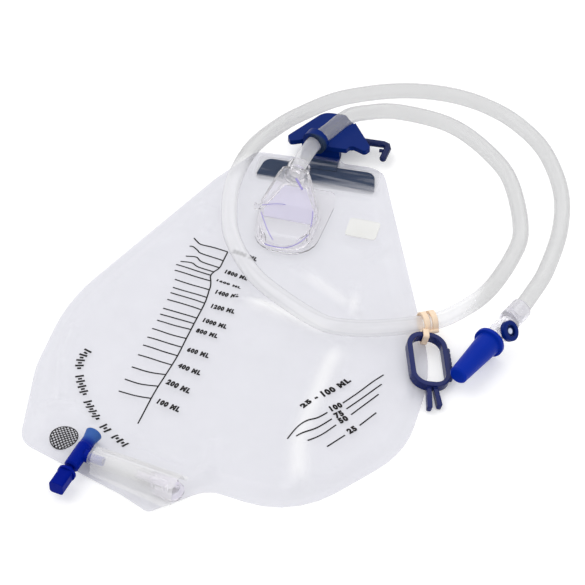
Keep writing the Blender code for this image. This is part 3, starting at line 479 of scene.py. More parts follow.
def inkMaterial(name, colour):
    made, tree, surface = principled(name)
    worn = noiseNode(tree, ownPlace(tree), 700)
    faded = [level + 0.03 for level in colour]
    tree.links.new(rampNode(tree, worn, [(0.0, colour), (1.0, faded)]), surface.inputs["Base Color"])
    surface.inputs["Roughness"].default_value = 0.5
    surface.inputs["Specular IOR Level"].default_value = 0.05
    return made


print("building the studio and camera")
makeCamera()
makeSky()
makeLamps()
makeTable()
bpy.context.scene.view_settings.view_transform = "Standard"
plastic = moulding()
vinyl = crinkle()

finishes = {
    "film": filmMaterial("clearFilm", vinyl, (0.80, 0.80, 0.86), alpha=0.36, depth=0.12),
    "filmUnder": filmMaterial("clearFilmUnder", vinyl, (0.86, 0.86, 0.91), alpha=0.55, depth=0.06),
    "pocket": filmMaterial(
        "pocketFilm", vinyl, (0.99, 0.985, 1.0), alpha=0.21, depth=0.06, share=0.02, roughness=0.20,
        fine=0.0, edge=0.14,
    ),
    "hose": hoseMaterial("clearHose", vinyl, (0.88, 0.88, 0.91), low=0.36, high=0.62, share=0.06, tableShade=0.42),
    "outlet": hoseMaterial("outletHose", vinyl, (1.0, 1.0, 1.0), low=0.20, high=0.40, share=0.03, tableShade=1.0),
    "lavender": clearMaterial(
        "lavenderPlastic", plastic, (0.992, 0.982, 1.0), transmission=0.94, roughness=0.06, share=0.02
    ),
    "port": clearMaterial("portPlastic", plastic, (0.955, 0.930, 1.0), transmission=0.90, roughness=0.06, share=0.03),
    "flap": clearMaterial("softFlap", plastic, (0.86, 0.83, 1.0), transmission=0.80, roughness=0.3, share=0.05),
    "clear": clearMaterial(
        "clearPlastic", plastic, (0.93, 0.92, 0.97), transmission=0.90, roughness=0.04, share=0.10, grain=0.0
    ),
    "navy": plasticMaterial("navyPlastic", plastic, (0.001, 0.014, 0.150), roughness=0.22),
    # below the head the hanger plate is painted a greyer slate: painted light, the milky haze of the film lying over
    # it; the navy above is its own colour
    "hanger": plasticMaterial(
        "hangerPlastic", plastic, (0.002, 0.018, 0.150), roughness=0.24,
        lower=(0.1345, 0.1365, (0.020, 0.036, 0.078)),
    ),
    "darkNavy": plasticMaterial(
        "darkNavyPlastic", plastic, (0.001, 0.008, 0.072), roughness=0.12, edge=0.0008, shine=0.22
    ),
    "royal": plasticMaterial("royalPlastic", plastic, (0.0, 0.022, 0.34), roughness=0.30),
    # the spout is painted a lighter blue: painted light, showing through its thin wall; the deeper blue of the body
    # is the tap's own colour
    "tap": plasticMaterial(
        "tapPlastic", plastic, (0.045, 0.120, 0.38), roughness=0.20, shine=0.04,
        lower=(-0.136, -0.129, (0.0, 0.010, 0.25)),
    ),
    "knob": plasticMaterial("knobPlastic", plastic, (0.0, 0.008, 0.235), roughness=0.25, shine=0.03),
    "clip": plasticMaterial("clipPlastic", plastic, (0.0, 0.008, 0.105), roughness=0.08, edge=0.0010, shine=0.24),
    "white": filmMaterial(
        "filterWhite", vinyl, (0.93, 0.93, 0.88), alpha=0.28, depth=0.02, share=0.1, roughness=0.7, fine=0.3
    ),
    # the septum is painted dark navy round a small pale middle: painted shade in the port ring's recess; the pale
    # middle is the rubber's own colour
    "pale": plasticMaterial(
        "paleRubber", plastic, (0.0, 0.008, 0.085), roughness=0.4,
        eye=((0.1484, 0.0069, 0.0165), 0.0014, 0.0020, (0.62, 0.68, 0.86)),
    ),
    "rubber": plasticMaterial("blackRubber", plastic, (0.02, 0.02, 0.02), roughness=0.5),
    "band": plasticMaterial(
        "beigeRubber", plastic, (0.95, 0.75, 0.56), roughness=0.45, drift=0.15, grain=0.2, edge=0.0006
    ),
    "violet": clearMaterial(
        "violetPlastic", plastic, (0.42, 0.36, 0.80), transmission=0.45, roughness=0.10, share=0.06, grain=0.0,
        edge=0.0001,
    ),
    "ink": inkMaterial("blackInk", (0.006, 0.005, 0.005)),
}


# CAD nodes whose shape is right keep it and take a finish
carried = {
    "hanger_plate": "hanger",
    "bed_hook": "darkNavy",
    "chamber_base": "lavender",
    "chamber_body": "lavender",
    "reflux_flap": "flap",
    "vent_filter": "white",
    "outlet_port": "port",
    "tap_body": "tap",
    "tap_plunger": "knob",
    "tap_seal": "rubber",
    "connector_body": "clear",
    "port_ring": "navy",
    "port_septum": "pale",
    "connector_cap": "royal",
    "rubber_band": "band",
    "sheet_clip": "clip",
}
for node, finish in carried.items():
    dress(cadNodes[node], finishes[finish])


# Drain tube: one length of 10 mm hose, lying over the bag and looped round beside it
drainTube = {
    "radius": 0.005,
    "step": 0.006,
    "length": 0.976,
    "holds": ("connector_body", "port_ring", "port_septum", "connector_cap", "rubber_band", "sheet_clip"),
    "route": [
        (-0.0062, 0.1085, 0.0140), (-0.0059, 0.1213, 0.0142), (-0.0021, 0.1379, 0.0155),
        (0.0035, 0.1482, 0.0164), (0.0111, 0.1637, 0.0168), (0.0197, 0.1756, 0.0125),
        (0.0362, 0.1887, 0.0066), (0.0655, 0.1886, 0.0052), (0.0871, 0.1789, 0.0052),
        (0.1106, 0.1584, 0.0052), (0.1229, 0.1392, 0.0052), (0.1341, 0.1078, 0.0052),
        (0.1359, 0.0855, 0.0052), (0.1276, 0.0478, 0.0052), (0.1129, 0.0220, 0.0066),
        (0.0984, 0.0071, 0.0091), (0.0717, -0.0047, 0.0093), (0.0548, -0.0086, 0.0093),
        (0.0411, -0.0082, 0.0093), (0.0173, 0.0028, 0.0093), (-0.0083, 0.0199, 0.0093),
        (-0.0289, 0.0459, 0.0093), (-0.0390, 0.0734, 0.0093), (-0.0429, 0.0997, 0.0093),
        (-0.0405, 0.1285, 0.0090), (-0.0307, 0.1572, 0.0058), (-0.0191, 0.1745, 0.0052),
        (-0.0038, 0.1911, 0.0052), (0.0132, 0.2020, 0.0052), (0.0310, 0.2100, 0.0052),
        (0.0496, 0.2146, 0.0052), (0.0691, 0.2154, 0.0052), (0.0896, 0.2113, 0.0052),
        (0.1113, 0.2006, 0.0052), (0.1340, 0.1790, 0.0052), (0.1513, 0.1452, 0.0052),
        (0.1579, 0.1098, 0.0052), (0.1568, 0.0718, 0.0062), (0.1530, 0.0510, 0.0070),
        (0.1492, 0.0356, 0.0076), (0.1452, 0.0238, 0.0083),
    ],
}


def evenPath(points, step):
    # points a step apart along a smooth curve through the given ones
    finePoints = 16
    points = [Vector(point) for point in points]
    ends = [2 * points[0] - points[1]] + points + [2 * points[-1] - points[-2]]
    fine = []
    for a, b, c, d in zip(ends, ends[1:], ends[2:], ends[3:]):
        for part in range(finePoints):
            t = part / finePoints
            slope = (c - a) * t / 2
            bend = (a * 2 - b * 5 + c * 4 - d) * t * t / 2
            twist = (b * 3 - a - c * 3 + d) * t**3 / 2
            fine.append(b + slope + bend + twist)
    fine.append(points[-1])
    run = [0.0]
    for before, after in zip(fine, fine[1:]):
        run.append(run[-1] + (after - before).length)
    count = round(run[-1] / step)
    path = []
    at = 0
    for index in range(count + 1):
        wanted = run[-1] * index / count
        while at < len(fine) - 2 and run[at + 1] < wanted:
            at += 1
        share = min((wanted - run[at]) / (run[at + 1] - run[at]), 1)
        path.append(fine[at].lerp(fine[at + 1], share))
    return path


def hoseCurve(name, path, radius, material, sides=6):
    curve = bpy.data.curves.new(name, "CURVE")
    curve.dimensions = "3D"
    curve.bevel_depth = radius
    curve.bevel_resolution = sides
    curve.use_fill_caps = True
    spline = curve.splines.new("POLY")
    spline.points.add(len(path) - 1)
    for target, point in zip(spline.points, path):
        target.co = (*point, 1)
    spline.use_smooth = True
    curve.materials.append(material)
    made = bpy.data.objects.new(name, curve)
    bpy.context.scene.collection.objects.link(made)
    return made


def makeDrainTube():
    path = evenPath(drainTube["route"], drainTube["step"])
    hose = hoseCurve("drainHose", path, drainTube["radius"], finishes["hose"])
    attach(hose, "bag")
    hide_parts("drain_tube")
    return path


tubePath = makeDrainTube()
print("drain tube laid")


# Bag films: welded round their edge, slack between, pressed flat where something lies on them
bag = {
    "cell": 0.0015,
    "film": 0.00022,
    "margin": 0.003,
    "weld": 0.0026,
    "weldTop": 0.0009,
    "weldBead": (0.0003, 0.0009),  # height, width
    "slope": 0.011,
    "body": 0.0031,
    "lowest": 0.00075,
    "wave": 0.0011,
    "seat": 0.0040,
    "seatGap": 0.0001,
    "seatSlope": 0.008,
    "underTube": (0.0035, 0.0085),  # pressed flat to free, from the tube's middle line
    "tubeLow": 0.0125,
    "seatNodes": ("chamber_base", "vent_filter", "outlet_port"),
    "seatBoxes": [  # middle, half size, turn: the pocket, the tap and the clip
        ((-0.026, -0.1465), (0.029, 0.015), -9),
        ((-0.0600, -0.1400), (0.009, 0.020), -9),
        ((0.106, -0.019), (0.014, 0.022), 21),
    ],
    "plate": (0.0032, 0.1219, 3.3, 0.0376, 0.0088),  # middle, turn, half size
    "plateTop": 0.00335,
    "ribTop": 0.00375,
    "ribFrom": -0.0030,
    "byPlate": 0.0019,
    "byPlateSlope": (0.001, 0.012),
    "plateSlope": (0.0002, 0.0032),
    "neck": (-0.0015, 0.0180, 0.0126, 0.0140),  # middle and half size, from the plate's middle
    "neckSlope": (0.0002, 0.0024),
    "clingSlope": (-0.0004, 0.0012),
    "glareFolds": 4,  # the first folds, which get a painted glare
    "glareLift": 0.0034,
    "glareEnd": 0.016,
    "folds": [  # line, height, width
        ([(-0.0124, 0.0033), (0.0069, 0.0017), (0.0264, -0.0031), (0.0499, -0.0102)], 0.0026, 0.0042),
        (
            [(0.0534, -0.0142), (0.0518, -0.0419), (0.0512, -0.0678), (0.0512, -0.0952), (0.0599, -0.1300)],
            0.0020, 0.0050,
        ),
        ([(0.0500, 0.0310), (0.0571, 0.0020)], 0.0016, 0.0030),
        ([(0.0144, 0.0361), (0.0373, 0.0240), (0.0573, 0.0123)], 0.0014, 0.0035),
        ([(-0.1000, -0.0440), (-0.0980, -0.0700), (-0.0890, -0.0968)], 0.0018, 0.0035),
        ([(-0.0990, -0.1090), (-0.0780, -0.1010), (-0.0650, -0.1100)], 0.0014, 0.0030),
        ([(-0.0670, 0.0800), (-0.0518, 0.0724), (-0.0480, 0.0560)], 0.0018, 0.0040),
        ([(0.0540, 0.0560), (0.0640, 0.0800)], 0.0012, 0.0030),
        ([(0.0020, -0.1400), (0.0087, -0.1269), (0.0060, -0.1100)], 0.0016, 0.0040),
        ([(-0.0500, -0.1170), (-0.0300, -0.1210), (-0.0100, -0.1290)], -0.0012, 0.0030),
    ],
}


def distanceTo(spots, segments):
    best = np.full(len(spots), 9.0)
    for a, b in segments:
        a = np.array(a[:2])
        b = np.array(b[:2])
        run = b - a
        share = np.clip((spots - a) @ run / max(run @ run, 1e-12), 0, 1)
        best = np.minimum(best, np.linalg.norm(spots - a - share[:, None] * run, axis=1))
    return best


def chain(points):
    return list(zip(points, points[1:]))


def step01(low, high, value):
    t = np.clip((value - low) / (high - low), 0, 1)
    return t * t * (3 - 2 * t)


def outsideBox(spots, centre, half, turn=0.0):
    # how far each spot is outside a turned box, less than 0 inside it, and its place in the box
    c = math.cos(math.radians(turn))
    s = math.sin(math.radians(turn))
    local = (spots - np.array(centre)) @ np.array([[c, -s], [s, c]])
    away = np.abs(local) - np.array(half)
    return np.linalg.norm(np.maximum(away, 0), axis=1) + np.minimum(away.max(axis=1), 0), local


def plateGaps(spots):
    # how far each spot is outside the plate and outside its neck, and its place on the plate
    x, y, lean, halfWide, halfHigh = bag["plate"]
    gap, local = outsideBox(spots, (x, y), (halfWide, halfHigh), lean)
    neckX, neckY, neckWide, neckHigh = bag["neck"]
    gapNeck, _ = outsideBox(local, (neckX, neckY), (neckWide, neckHigh))
    return gap, gapNeck, local


def bagOutline():
    # the edge of the back film, as loose segments
    mesh = cadNodes["back_film"].data
    low = {}
    for poly in mesh.polygons:
        if abs(poly.normal.z) < 0.5:
            spots = sorted({tuple(round(c, 6) for c in mesh.vertices[v].co[:2]) for v in poly.vertices})
            if len(spots) == 2:
                low[tuple(spots)] = True
    return list(low)


outline = bagOutline()


def seats():
    # where something lies on the film and holds it at one height
    found = []
    for node in bag["seatNodes"]:
        low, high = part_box(node)
        middle = ((low[0] + high[0]) / 2, (low[1] + high[1]) / 2)
        half = ((high[0] - low[0]) / 2, (high[1] - low[1]) / 2)
        found.append((middle, half, 0))
    return found + bag["seatBoxes"]


seatBoxes = seats()


def blend(height, other, share):
    return height * (1 - share) + other * share


def filmTop(spots):
    # the front film's height at each spot
    spots = np.asarray(spots, float).reshape(-1, 2)
    edge = distanceTo(spots, outline)
    rise = step01(bag["weld"], bag["weld"] + bag["slope"], edge)
    height = bag["weldTop"] + (bag["body"] - bag["weldTop"]) * rise
    drift = np.array([
        noise.noise(Vector((x * 26, y * 20, 0.3))) + 0.45 * noise.noise(Vector((x * 70, y * 52, 4.1)))
        for x, y in spots
    ])
    height = height + bag["wave"] * drift * rise
    for line, lift, width in bag["folds"]:
        gap = distanceTo(spots, chain(line))
        height = height + lift * np.exp(-((gap / width) ** 2)) * rise
    bead, beadWidth = bag["weldBead"]
    height = height + bead * np.exp(-(((edge - bag["weld"]) / beadWidth) ** 2))
    tube = distanceTo(spots, chain([p for p in tubePath if p.z < bag["tubeLow"]]))
    height = blend(height, np.minimum(height, bag["seat"]), 1 - step01(*bag["underTube"], tube))
    for centre, half, turn in seatBoxes:
        gap, _ = outsideBox(spots, centre, half, turn)
        held = (1 - step01(0.0, bag["seatSlope"], gap)) * rise
        height = blend(height, bag["seat"] - bag["seatGap"], held)
    gap, gapNeck, local = plateGaps(spots)
    over = np.where(local[:, 1] < bag["ribFrom"], bag["ribTop"], bag["plateTop"])
    height = blend(height, np.minimum(height, bag["byPlate"]), 1 - step01(*bag["byPlateSlope"], gap))
    height = blend(height, over, 1 - step01(*bag["plateSlope"], np.maximum(gap, 0)))
    height = blend(height, bag["ribTop"], 1 - step01(*bag["neckSlope"], np.maximum(gapNeck, 0)))
    return np.maximum(height, bag["lowest"])


def trimToBag(piece):
    tool = copyNode("back_film", "bagCutter")
    pick(tool)
    for vertex in tool.data.vertices:
        vertex.co.z = -0.004 if vertex.co.z < 0.0002 else 0.020
    cut = piece.modifiers.new("bagShape", "BOOLEAN")
    cut.operation = "INTERSECT"
    cut.solver = "EXACT"
    cut.object = tool
    applyAll(piece)
    bpy.data.objects.remove(tool, do_unlink=True)


def markFilm(film):
    # for the film's material: how closely it clings to the plate and its neck, and how strong the painted glare is
    # along its first folds
    spots = np.array([v.co[:2] for v in film.data.vertices])
    gap, gapNeck, _ = plateGaps(spots)
    cling = film.data.attributes.new("cling", "FLOAT", "POINT")
    cling.data.foreach_set("value", 1 - step01(*bag["clingSlope"], np.minimum(gap, gapNeck)))
    # painted glare, strongest on each fold's line and fading towards its ends
    white = np.zeros(len(spots))
    for line, lift, width in bag["folds"][:bag["glareFolds"]]:
        away = distanceTo(spots, chain(line))
        ends = np.minimum(distanceTo(spots, [(line[0], line[0])]), distanceTo(spots, [(line[-1], line[-1])]))
        full = lift / bag["glareLift"] * np.exp(-((away / width) ** 2))
        white = np.maximum(white, full * step01(0.0, bag["glareEnd"], ends))
    foldGlare = film.data.attributes.new("foldGlare", "FLOAT", "POINT")
    foldGlare.data.foreach_set("value", white)


def makeFilm(name, cell, heights, thickness, material, node):
    low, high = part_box("back_film")
    wide = high[0] - low[0] + 2 * bag["margin"]
    deep = high[1] - low[1] + 2 * bag["margin"]
    deselectAll()
    bpy.ops.mesh.primitive_grid_add(
        x_subdivisions=round(wide / cell), y_subdivisions=round(deep / cell), size=1,
        location=((low[0] + high[0]) / 2, (low[1] + high[1]) / 2, 0),
    )
    film = bpy.context.object
    film.name = name
    film.scale = (wide, deep, 1)
    place(film)
    spots = np.array([v.co[:2] for v in film.data.vertices])
    for vertex, height in zip(film.data.vertices, heights(spots)):
        vertex.co.z = height
    wall = film.modifiers.new("wall", "SOLIDIFY")
    wall.thickness = thickness
    wall.offset = -1
    applyAll(film)
    trimToBag(film)
    if node == "front_film":
        markFilm(film)
    smoothPiece(film, 45)
    dress(film, material)
    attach(film, "bag")
    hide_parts(node)
    return film


def backTop(spots):
    drift = np.array([noise.noise(Vector((x * 40, y * 36, 9.0))) for x, y in spots])
    return 0.00042 + 0.00009 * drift


frontFilm = makeFilm("frontFilm", bag["cell"], filmTop, bag["film"], finishes["film"], "front_film")
backFilm = makeFilm("backFilm", 0.004, backTop, 0.0003, finishes["filmUnder"], "back_film")
print("films made:", len(frontFilm.data.polygons), len(backFilm.data.polygons), "faces")


# Drip chamber: the fold beside the tube, the hood's lower crease and the lines round the cup
chamberLines = [  # radius, route
    (0.00062, [
        (-0.0034, 0.0963, 0.0197), (-0.0013, 0.0941, 0.0190), (0.0006, 0.0920, 0.0182), (0.0022, 0.0902, 0.0176),
    ]),
    (0.00026, [
        (-0.0188, 0.0747, 0.0133), (-0.0158, 0.0759, 0.0134), (-0.0126, 0.0773, 0.0134), (-0.0086, 0.0783, 0.0135),
        (-0.0052, 0.0787, 0.0135),
    ]),
    (0.00030, [
        (-0.0099, 0.0495, 0.0063), (-0.0064, 0.0485, 0.0066), (-0.0017, 0.0483, 0.0066), (0.0024, 0.0489, 0.0066),
        (0.0062, 0.0504, 0.0074), (0.0099, 0.0525, 0.0090), (0.0127, 0.0558, 0.0102), (0.0143, 0.0599, 0.0104),
    ]),
    (0.00028, [
        (-0.0177, 0.0688, 0.0131), (-0.0133, 0.0611, 0.0128), (-0.0088, 0.0538, 0.0124), (-0.0050, 0.0503, 0.0099),
    ]),
    (0.00028, [(0.0146, 0.0641, 0.0129), (0.0138, 0.0701, 0.0132), (0.0123, 0.0776, 0.0134)]),
]


def makeChamberLines():
    parts = []
    for radius, points in chamberLines:
        rib = hoseCurve("chamberLine", evenPath(points, 0.001), radius, finishes["violet"], 3)
        pick(rib)
        bpy.ops.object.convert(target="MESH")
        parts.append(bpy.context.object)
    made = joinPieces(parts, "chamberLines")
    smoothPiece(made, 60)
    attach(made, "bag")


makeChamberLines()
print("chamber lines made")


# Outlet hose: the short hose from the port to the tap, its bore left to the shading
outletHose = {"wall": 0.0012}


def makeOutletHose():
    hose = copyNode("outlet_tube", "outletHose")
    spots = np.array([v.co for v in hose.data.vertices])
    away = spots - spots.mean(axis=0)
    along = np.linalg.svd(away)[2][0]
    reach = np.linalg.norm(away - np.outer(away @ along, along), axis=1)
    inner = {int(index) for index in np.flatnonzero(reach < reach.max() - outletHose["wall"] / 2)}
    solid = bmesh.new()
    solid.from_mesh(hose.data)
    bore = [face for face in solid.faces if all(corner.index in inner for corner in face.verts)]
    bmesh.ops.delete(solid, geom=bore, context="FACES")
    bmesh.ops.holes_fill(solid, edges=[edge for edge in solid.edges if edge.is_boundary])
    bmesh.ops.recalc_face_normals(solid, faces=solid.faces)
    solid.to_mesh(hose.data)
    solid.free()
    smoothPiece(hose, 50)
    dress(hose, finishes["outlet"])
    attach(hose, "bag")
    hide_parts("outlet_tube")
    print("outlet hose:", len(hose.data.polygons), "faces, radius", round(float(reach.max()), 5))


makeOutletHose()


# Pocket film over the outlet hose: a ridge from its upper foot, over the hose, down to its lower foot
pocket = {
    "place": (-0.0605, -0.1415, 0.0092),
    "lean": -9.0,
    "start": 0.0085,
    "end": 0.0600,
    "cells": (64, 44),
    "hose": 0.00425,
    "room": 0.0006,  # between the hose and the film's crown
    "crown": 0.0014,
    "side": (0.0010, 0.0030),  # past the hose at the start, and how much more at the end
    "foot": (0.0030, 0.0050),
    "upper": (0.0135, 0.0100, 0.0078, 0.0052, 0.0020, -0.0012),
    "low": -0.0050,
    "lip": 0.0002,
    "slack": 0.0007,
    "film": 0.0002,
}


def pocketRidge(along):
    # the film's section at a share of its length
    hose = pocket["hose"]
    low = pocket["low"]
    lip = low + pocket["lip"]
    crown = hose + pocket["room"] + pocket["crown"]
    side = hose + pocket["side"][0] + pocket["side"][1] * along
    foot = hose + pocket["foot"][0] + pocket["foot"][1] * along
    upper = zip(pocket["upper"], (low, lip, crown * 0.15, crown * 0.80, crown, crown))
    return [*upper, (-side + 0.0012, crown * 0.66), (-side, crown * -0.2), (-side - 0.0004, lip), (-foot, low)]


def makePocket():
    deselectAll()
    cellsLong, cellsWide = pocket["cells"]
    bpy.ops.mesh.primitive_grid_add(x_subdivisions=cellsLong, y_subdivisions=cellsWide, size=1)
    film = bpy.context.object
    film.name = "pocketSheet"
    for vertex in film.data.vertices:
        along = vertex.co.x + 0.5
        across = vertex.co.y + 0.5
        ridge = pocketRidge(along)
        at = across * (len(ridge) - 1)
        cell = min(int(at), len(ridge) - 2)
        share = at - cell
        y = ridge[cell][0] * (1 - share) + ridge[cell + 1][0] * share
        z = ridge[cell][1] * (1 - share) + ridge[cell + 1][1] * share
        slack = noise.noise(Vector((along * 5, vertex.co.y * 9, 2.0))) * pocket["slack"] * math.sin(math.pi * across)
        vertex.co = (pocket["start"] + (pocket["end"] - pocket["start"]) * along, y, z + abs(slack))
    soften = film.modifiers.new("soften", "SMOOTH")
    soften.iterations = 4
    wall = film.modifiers.new("wall", "SOLIDIFY")
    wall.thickness = pocket["film"]
    wall.offset = 1
    applyAll(film)
    film.matrix_world = Matrix.Translation(pocket["place"]) @ Matrix.Rotation(math.radians(pocket["lean"]), 4, "Z")
    place(film)
    pick(film)
    bpy.ops.object.mode_set(mode="EDIT")
    bpy.ops.mesh.select_all(action="SELECT")
    bpy.ops.mesh.normals_make_consistent(inside=False)
    bpy.ops.object.mode_set(mode="OBJECT")
    smoothPiece(film, 60)
    dress(film, finishes["pocket"])
    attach(film, "bag")
    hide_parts("outlet_sleeve")


makePocket()
print("pocket made")


# Printing on the front film: one strip or figure at a time, laid on the film's surface
mainScale = {
    "line": 0.00080,
    "tick": 0.00085,
    "spine": [
        (-0.0301, 0.0395), (-0.0304, 0.0313), (-0.0309, 0.0250), (-0.0332, 0.0209), (-0.0341, 0.0173),
        (-0.0327, 0.0132), (-0.0316, 0.0090), (-0.0314, 0.0057), (-0.0308, -0.0052), (-0.0318, -0.0235),
        (-0.0325, -0.0360), (-0.0331, -0.0510), (-0.0350, -0.0673), (-0.0364, -0.0769), (-0.0374, -0.0869),
        (-0.0388, -0.1068),
    ],
    "ticks": [
        [(-0.0534, 0.0465), (-0.0501, 0.0435), (-0.0471, 0.0417), (-0.0388, 0.0407), (-0.0301, 0.0395)],
        [(-0.0538, 0.0388), (-0.0516, 0.0390), (-0.0478, 0.0363), (-0.0448, 0.0342), (-0.0304, 0.0313)],
        [(-0.0533, 0.0296), (-0.0469, 0.0305), (-0.0427, 0.0274), (-0.0309, 0.0250)],
        [(-0.0549, 0.0242), (-0.0479, 0.0248), (-0.0436, 0.0226), (-0.0332, 0.0209)],
        [(-0.0566, 0.0210), (-0.0343, 0.0178)], [(-0.0559, 0.0160), (-0.0330, 0.0132)],
        [(-0.0535, 0.0085), (-0.0314, 0.0059)], [(-0.0526, 0.0019), (-0.0310, -0.0005)],
        [(-0.0527, -0.0026), (-0.0308, -0.0054)], [(-0.0528, -0.0085), (-0.0310, -0.0112)],
        [(-0.0529, -0.0162), (-0.0313, -0.0186)], [(-0.0531, -0.0212), (-0.0316, -0.0234)],
        [(-0.0533, -0.0265), (-0.0428, -0.0279), (-0.0321, -0.0284)],
        [(-0.0539, -0.0339), (-0.0425, -0.0357), (-0.0325, -0.0361)],
        [(-0.0544, -0.0413), (-0.0328, -0.0437)], [(-0.0548, -0.0481), (-0.0331, -0.0510)],
        [(-0.0552, -0.0561), (-0.0337, -0.0590)],
        [(-0.0558, -0.0660), (-0.0455, -0.0676), (-0.0350, -0.0673)],
        [(-0.0566, -0.0761), (-0.0468, -0.0776), (-0.0364, -0.0769)],
        [(-0.0570, -0.0859), (-0.0468, -0.0870), (-0.0374, -0.0869)],
    ],
    "labels": [
        ("100 ML", -0.0337, -0.0879, -13, 0.0143, 1.2), ("200 ML", -0.0326, -0.0723, -14, 0.0153, 1.2),
        ("400 ML", -0.0302, -0.0581, -9, 0.0141, 1.2), ("600 ML", -0.0291, -0.0447, -6, 0.0134, 1.2),
        ("800 ML", -0.0288, -0.0280, -6, 0.0134, 1.2), ("1000 ML", -0.0280, -0.0186, -7, 0.0148, 1.2),
        ("1200 ML", -0.0269, -0.0061, -5, 0.0146, 1.2), ("1400 ML", -0.0278, 0.0056, -6, 0.0148, 1.15),
        ("1600 ML", -0.0300, 0.0150, -9, 0.0157, 0.55), ("1800 ML", -0.0272, 0.0232, -9, 0.0146, 1.1),
        ("2000 ML", -0.0273, 0.0410, -11, 0.0163, 1.0),
    ],
}
sideScale = {
    "line": 0.00085,
    "strokes": [
        [(0.0447, -0.0961), (0.0476, -0.0875), (0.0515, -0.0817), (0.0563, -0.0765), (0.0608, -0.0701)],
        [(0.0672, -0.0607), (0.0782, -0.0427), (0.0841, -0.0336)],
        [(0.0492, -0.0939), (0.0581, -0.0831), (0.0644, -0.0738)], [(0.0703, -0.0643), (0.0849, -0.0411)],
        [(0.0559, -0.0944), (0.0625, -0.0864), (0.0678, -0.0775)], [(0.0739, -0.0678), (0.0851, -0.0490)],
        [(0.0672, -0.0950), (0.0746, -0.0839)], [(0.0805, -0.0745), (0.0872, -0.0629)],
    ],
    "labels": [
        ("100", 0.0613, -0.0678, 46, 0.0076, 1.05), ("75", 0.0656, -0.0715, 48, 0.0055, 1.05),
        ("50", 0.0688, -0.0746, 48, 0.0057, 1.05), ("25", 0.0757, -0.0811, 52, 0.0057, 1.05),
        ("25 - 100 ML", 0.0462, -0.0712, 56, 0.0360, 0.85),
    ],
}
hatchMark = {
    "centre": (-0.0751, -0.1275),
    "radius": 0.0078,
    "pitch": 0.0016,
    "line": 0.00055,
    "lines": 4,  # each side of the middle one
    "turns": (35, -55),
}
arcMark = {
    "points": [
        (-0.0843, -0.0600), (-0.0860, -0.0660), (-0.0846, -0.0745), (-0.0810, -0.0830), (-0.0765, -0.0905),
        (-0.0700, -0.1000), (-0.0625, -0.1085), (-0.0530, -0.1165), (-0.0430, -0.1222), (-0.0330, -0.1268),
        (-0.0225, -0.1283),
    ],
    "pitch": 0.0021,
    "bar": 0.0050,
    "shortBar": 0.45,
    "line": 0.00130,
    "groups": [8, 8, 8, 3, 5],
    "gap": 2,
}
ink = {"lift": 0.00007, "thickness": 0.00006, "step": 0.0012, "size": 0.01, "bold": 0.00072, "spacing": 1.24}


def layOnFilm(piece):
    # drops a flat print onto the film and gives the ink its thickness
    spots = np.array([v.co[:2] for v in piece.data.vertices])
    for vertex, height in zip(piece.data.vertices, filmTop(spots)):
        vertex.co.z = height + ink["lift"]
    wall = piece.modifiers.new("ink", "SOLIDIFY")
    wall.thickness = ink["thickness"]
    wall.offset = 0
    applyAll(piece)


def inkStrip(points, width):
    path = evenPath([(x, y, 0) for x, y in points], ink["step"])
    deselectAll()
    bpy.ops.mesh.primitive_grid_add(x_subdivisions=len(path) - 1, y_subdivisions=1, size=1)
    strip = bpy.context.object
    for vertex in strip.data.vertices:
        index = min(round((vertex.co.x + 0.5) * (len(path) - 1)), len(path) - 1)
        ahead = path[min(index + 1, len(path) - 1)] - path[max(index - 1, 0)]
        across = Vector((-ahead.y, ahead.x, 0)).normalized() * width
        vertex.co = path[index] + across * vertex.co.y
    return strip


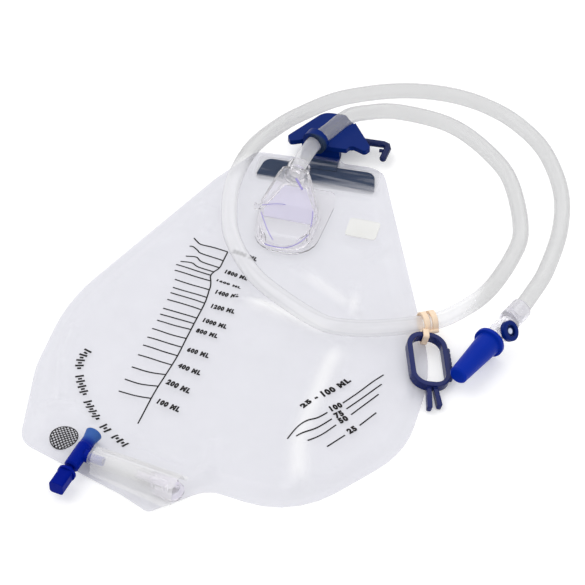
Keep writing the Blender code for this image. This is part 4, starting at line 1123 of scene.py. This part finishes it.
def inkFigure(text, x, y, turn, width, tall):
    deselectAll()
    bpy.ops.object.text_add(location=(0, 0, 0))
    figure = bpy.context.object
    figure.data.body = text
    figure.data.size = ink["size"]
    figure.data.offset = ink["bold"]
    figure.data.space_character = ink["spacing"]
    figure.data.align_y = "CENTER"
    figure.data.resolution_u = 3
    pick(figure)
    bpy.ops.object.convert(target="MESH")
    figure = bpy.context.object
    scale = width / max(figure.dimensions.x, 1e-6)
    figure.scale = (scale, scale * tall, 1)
    figure.rotation_euler.z = math.radians(turn)
    figure.location = (x, y, 0)
    place(figure)
    mergeDoubles(figure)
    return figure


def finishPrint(pieces, name):
    made = joinPieces(pieces, name)
    layOnFilm(made)
    dress(made, finishes["ink"])
    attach(made, "bag")


def makeScales():
    for scale, name in ((mainScale, "mainScalePrint"), (sideScale, "sideScalePrint")):
        parts = [inkStrip(scale["spine"], scale["line"])] if "spine" in scale else []
        parts += [inkStrip(line, scale.get("tick", scale["line"])) for line in scale.get("ticks", [])]
        parts += [inkStrip(line, scale["line"]) for line in scale.get("strokes", [])]
        parts += [inkFigure(*label) for label in scale["labels"]]
        finishPrint(parts, name)


def makeHatch():
    parts = []
    cx, cy = hatchMark["centre"]
    reach = hatchMark["radius"]
    for index in range(-hatchMark["lines"], hatchMark["lines"] + 1):
        offset = index * hatchMark["pitch"]
        half = math.sqrt(max(reach**2 - offset**2, 0))
        for turn in hatchMark["turns"]:
            c = math.cos(math.radians(turn))
            s = math.sin(math.radians(turn))
            ends = [(cx + c * along - s * offset, cy + s * along + c * offset) for along in (-half, half)]
            parts.append(inkStrip(ends, hatchMark["line"]))
    ring = []
    for degrees in range(0, 361, 20):
        angle = math.radians(degrees)
        ring.append((cx + reach * math.cos(angle), cy + reach * math.sin(angle)))
    parts.append(inkStrip(ring, hatchMark["line"]))
    finishPrint(parts, "hatchPrint")


def makeArc():
    # plain bars, long and short in turn, in groups along a curve
    parts = []
    path = evenPath([(x, y, 0) for x, y in arcMark["points"]], arcMark["pitch"])
    at = 0
    for group in arcMark["groups"]:
        for index in range(at, min(at + group, len(path) - 1)):
            way = (path[index + 1] - path[index]).normalized()
            reach = arcMark["bar"] / 2 * (1 if (index - at) % 2 == 0 else arcMark["shortBar"])
            side = Vector((-way.y, way.x, 0)) * reach
            here = path[index]
            parts.append(inkStrip([(here - side)[:2], (here + side)[:2]], arcMark["line"]))
        at += group + arcMark["gap"]
    finishPrint(parts, "arcPrint")


makeScales()
makeHatch()
makeArc()
print("prints laid on the film")
